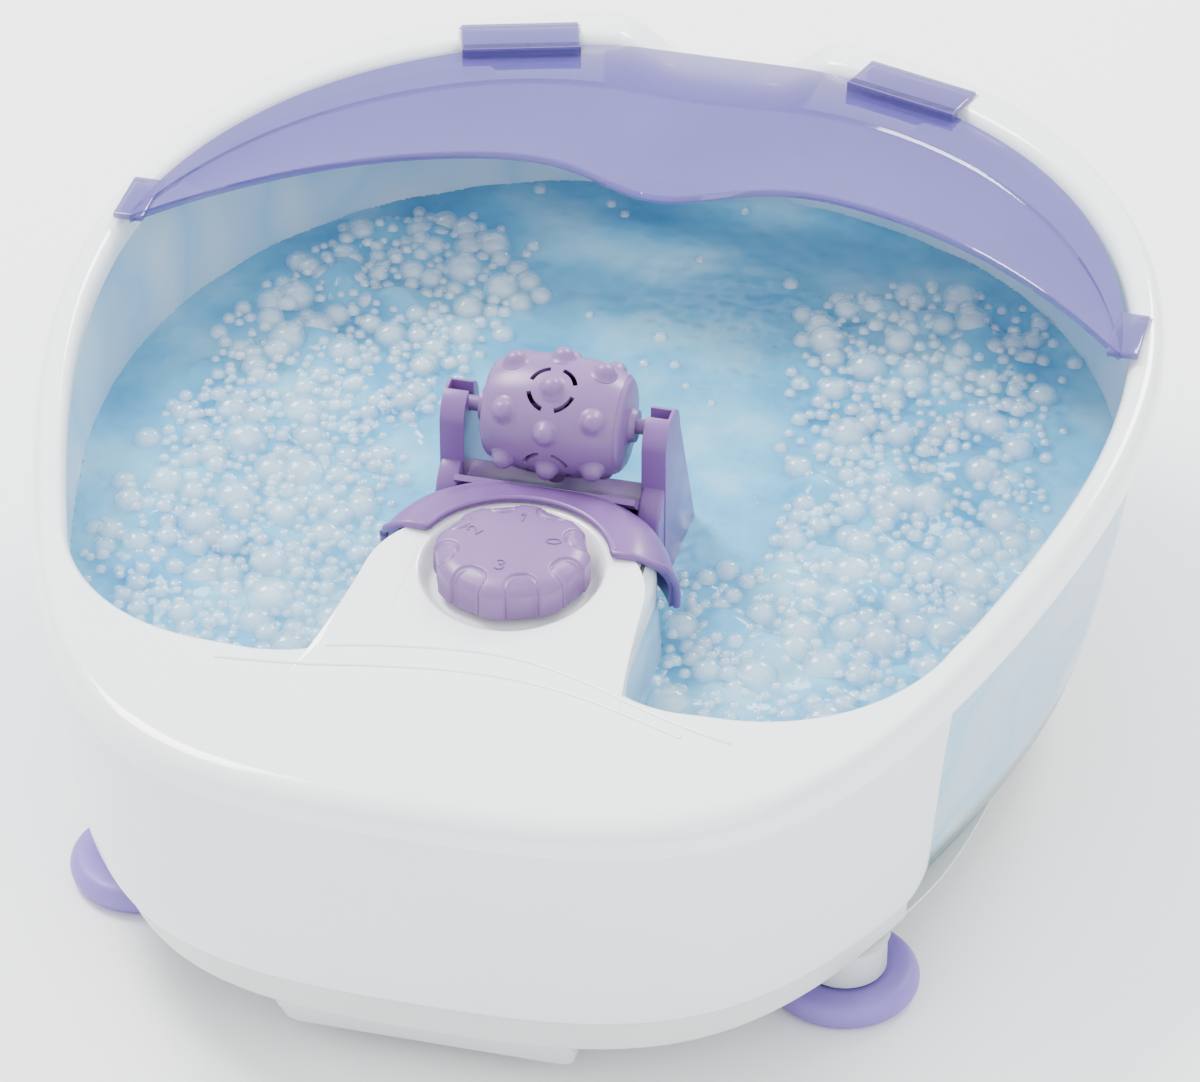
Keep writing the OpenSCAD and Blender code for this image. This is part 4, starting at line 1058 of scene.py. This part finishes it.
# Finish of the CAD nodes that are shown as they are: colour, roughness, metal
CARRIED = {
    "rim_gasket": ((0.12, 0.12, 0.13), 0.7, 0), "switch_shaft": ((0.6, 0.6, 0.62), 0.3, 1),
    "switch_body": ((0.05, 0.05, 0.06), 0.5, 0), "switch_bracket": ((0.6, 0.6, 0.62), 0.35, 1),
    "switch_terminals": ((0.8, 0.6, 0.25), 0.35, 1), "shaft_seal": ((0.1, 0.1, 0.1), 0.7, 0),
    "roller_axle": (LILAC, 0.35, 0), "foot_screws": ((0.6, 0.6, 0.62), 0.3, 1),
    "base_screws": ((0.6, 0.6, 0.62), 0.3, 1), "bubble_plate_left": ((0.4, 0.64, 0.82), 0.35, 0),
    "bubble_plate_right": ((0.4, 0.64, 0.82), 0.35, 0),
    "blower_housing": ((0.16, 0.17, 0.18), 0.5, 0), "blower_cover": ((0.16, 0.17, 0.18), 0.5, 0),
    "blower_motor": ((0.55, 0.55, 0.57), 0.35, 1), "blower_shaft": ((0.6, 0.6, 0.62), 0.25, 1),
    "blower_impeller": ((0.75, 0.75, 0.72), 0.45, 0), "air_hose_left": ((0.6, 0.62, 0.62), 0.3, 0),
    "air_hose_right": ((0.6, 0.62, 0.62), 0.3, 0), "air_nipples": ((0.7, 0.71, 0.7), 0.4, 0),
    "massage_motor": ((0.55, 0.55, 0.57), 0.35, 1), "massage_shaft": ((0.6, 0.6, 0.62), 0.25, 1),
    "eccentric_left": ((0.78, 0.6, 0.28), 0.35, 1), "eccentric_right": ((0.78, 0.6, 0.28), 0.35, 1),
    "motor_clamp": ((0.6, 0.6, 0.62), 0.35, 1), "motor_mounts": ((0.06, 0.06, 0.06), 0.8, 0),
    "motor_screws": ((0.6, 0.6, 0.62), 0.3, 1), "heater_plate": ((0.72, 0.72, 0.74), 0.4, 1),
    "heater_rod": ((0.35, 0.34, 0.33), 0.45, 1), "heater_clips": ((0.6, 0.6, 0.62), 0.35, 1),
    "thermostat": ((0.75, 0.73, 0.68), 0.6, 0), "thermal_fuse": ((0.8, 0.79, 0.75), 0.5, 0),
    "terminal_block": ((0.7, 0.67, 0.55), 0.5, 0),
    "suppression_capacitor": ((0.68, 0.6, 0.3), 0.45, 0),
    "cord_gland": ((0.1, 0.1, 0.1), 0.7, 0), "wiring_loom": ((0.4, 0.03, 0.03), 0.4, 0)}


def dress_carried():
    for name, (colour, rough, metal) in CARRIED.items():
        mat = surface("finish_" + name, colour, rough, 0.08, 120, 0.03, metal)
        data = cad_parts[name].data
        if data.materials:
            data.materials[0] = mat
        else:
            data.materials.append(mat)


def build_all():
    white = surface("cover_plastic", WHITE, 0.16, 0.012, 30, 0.004, coat=0.5)
    skirt = surface("skirt_plastic", SKIRT_WHITE, 0.24, 0.015, 30, 0.006, coat=0.3)
    tray = surface("tray_plastic", TRAY_GREY, 0.35, 0.03, 40, 0.02)
    lilac = surface("lilac_plastic", LILAC, 0.34, 0.03, 60, 0.02, soft=0.15)
    stand = surface("stand_plastic", STAND_LILAC, 0.34, 0.04, 60, 0.02, soft=0.15)
    guard = surface("guard_plastic", GUARD_VIOLET, 0.1, 0.06, 20, 0.004, coat=0.8, alpha=0.7)
    foot = surface("foot_rubber", FOOT_VIOLET, 0.45, 0.05, 80, 0.04)
    dress(build_cover(), white, "white_gloss", "basin", "top_cover")
    dress(build_tub(), tub_material(), "tub_tint", "basin", "tub")
    dress(build_skirt(), skirt, "skirt_white", "basin", "front_skirt")
    dress(build_tray(), tray, "tray_grey", "basin", "base_tray")
    dress(build_guard(), guard, "guard_violet", "guard", "splash_guard")
    dress(build_knob(), lilac, "lilac", "knob", "control_knob")
    dress(build_roller(), lilac, "lilac", "roller", "roller_body")
    for s, side in ((1, "right"), (-1, "left")):
        cap = lathe("cap_" + side, cap_profile(s), (0, ROLLER_Y, ROLLER_Z), 96, "X")
        dress(cap, lilac, "lilac", "roller", "roller_cap_" + side)
    dress(build_stand(), stand, "lilac_dark", "stand", "roller_stand")
    for name, (x, y) in FEET.items():
        disc = lathe(name + "_disc", foot_profile(), (x, y, 0), 96)
        dress(disc, foot, "foot_violet", "basin", name)
    dress(build_water(), water_material(), "tub_tint", "basin")
    dress(build_bubbles(), bubble_material(), "tub_tint", "basin")
    dress_carried()


add_camera()
add_stage()
build_all()
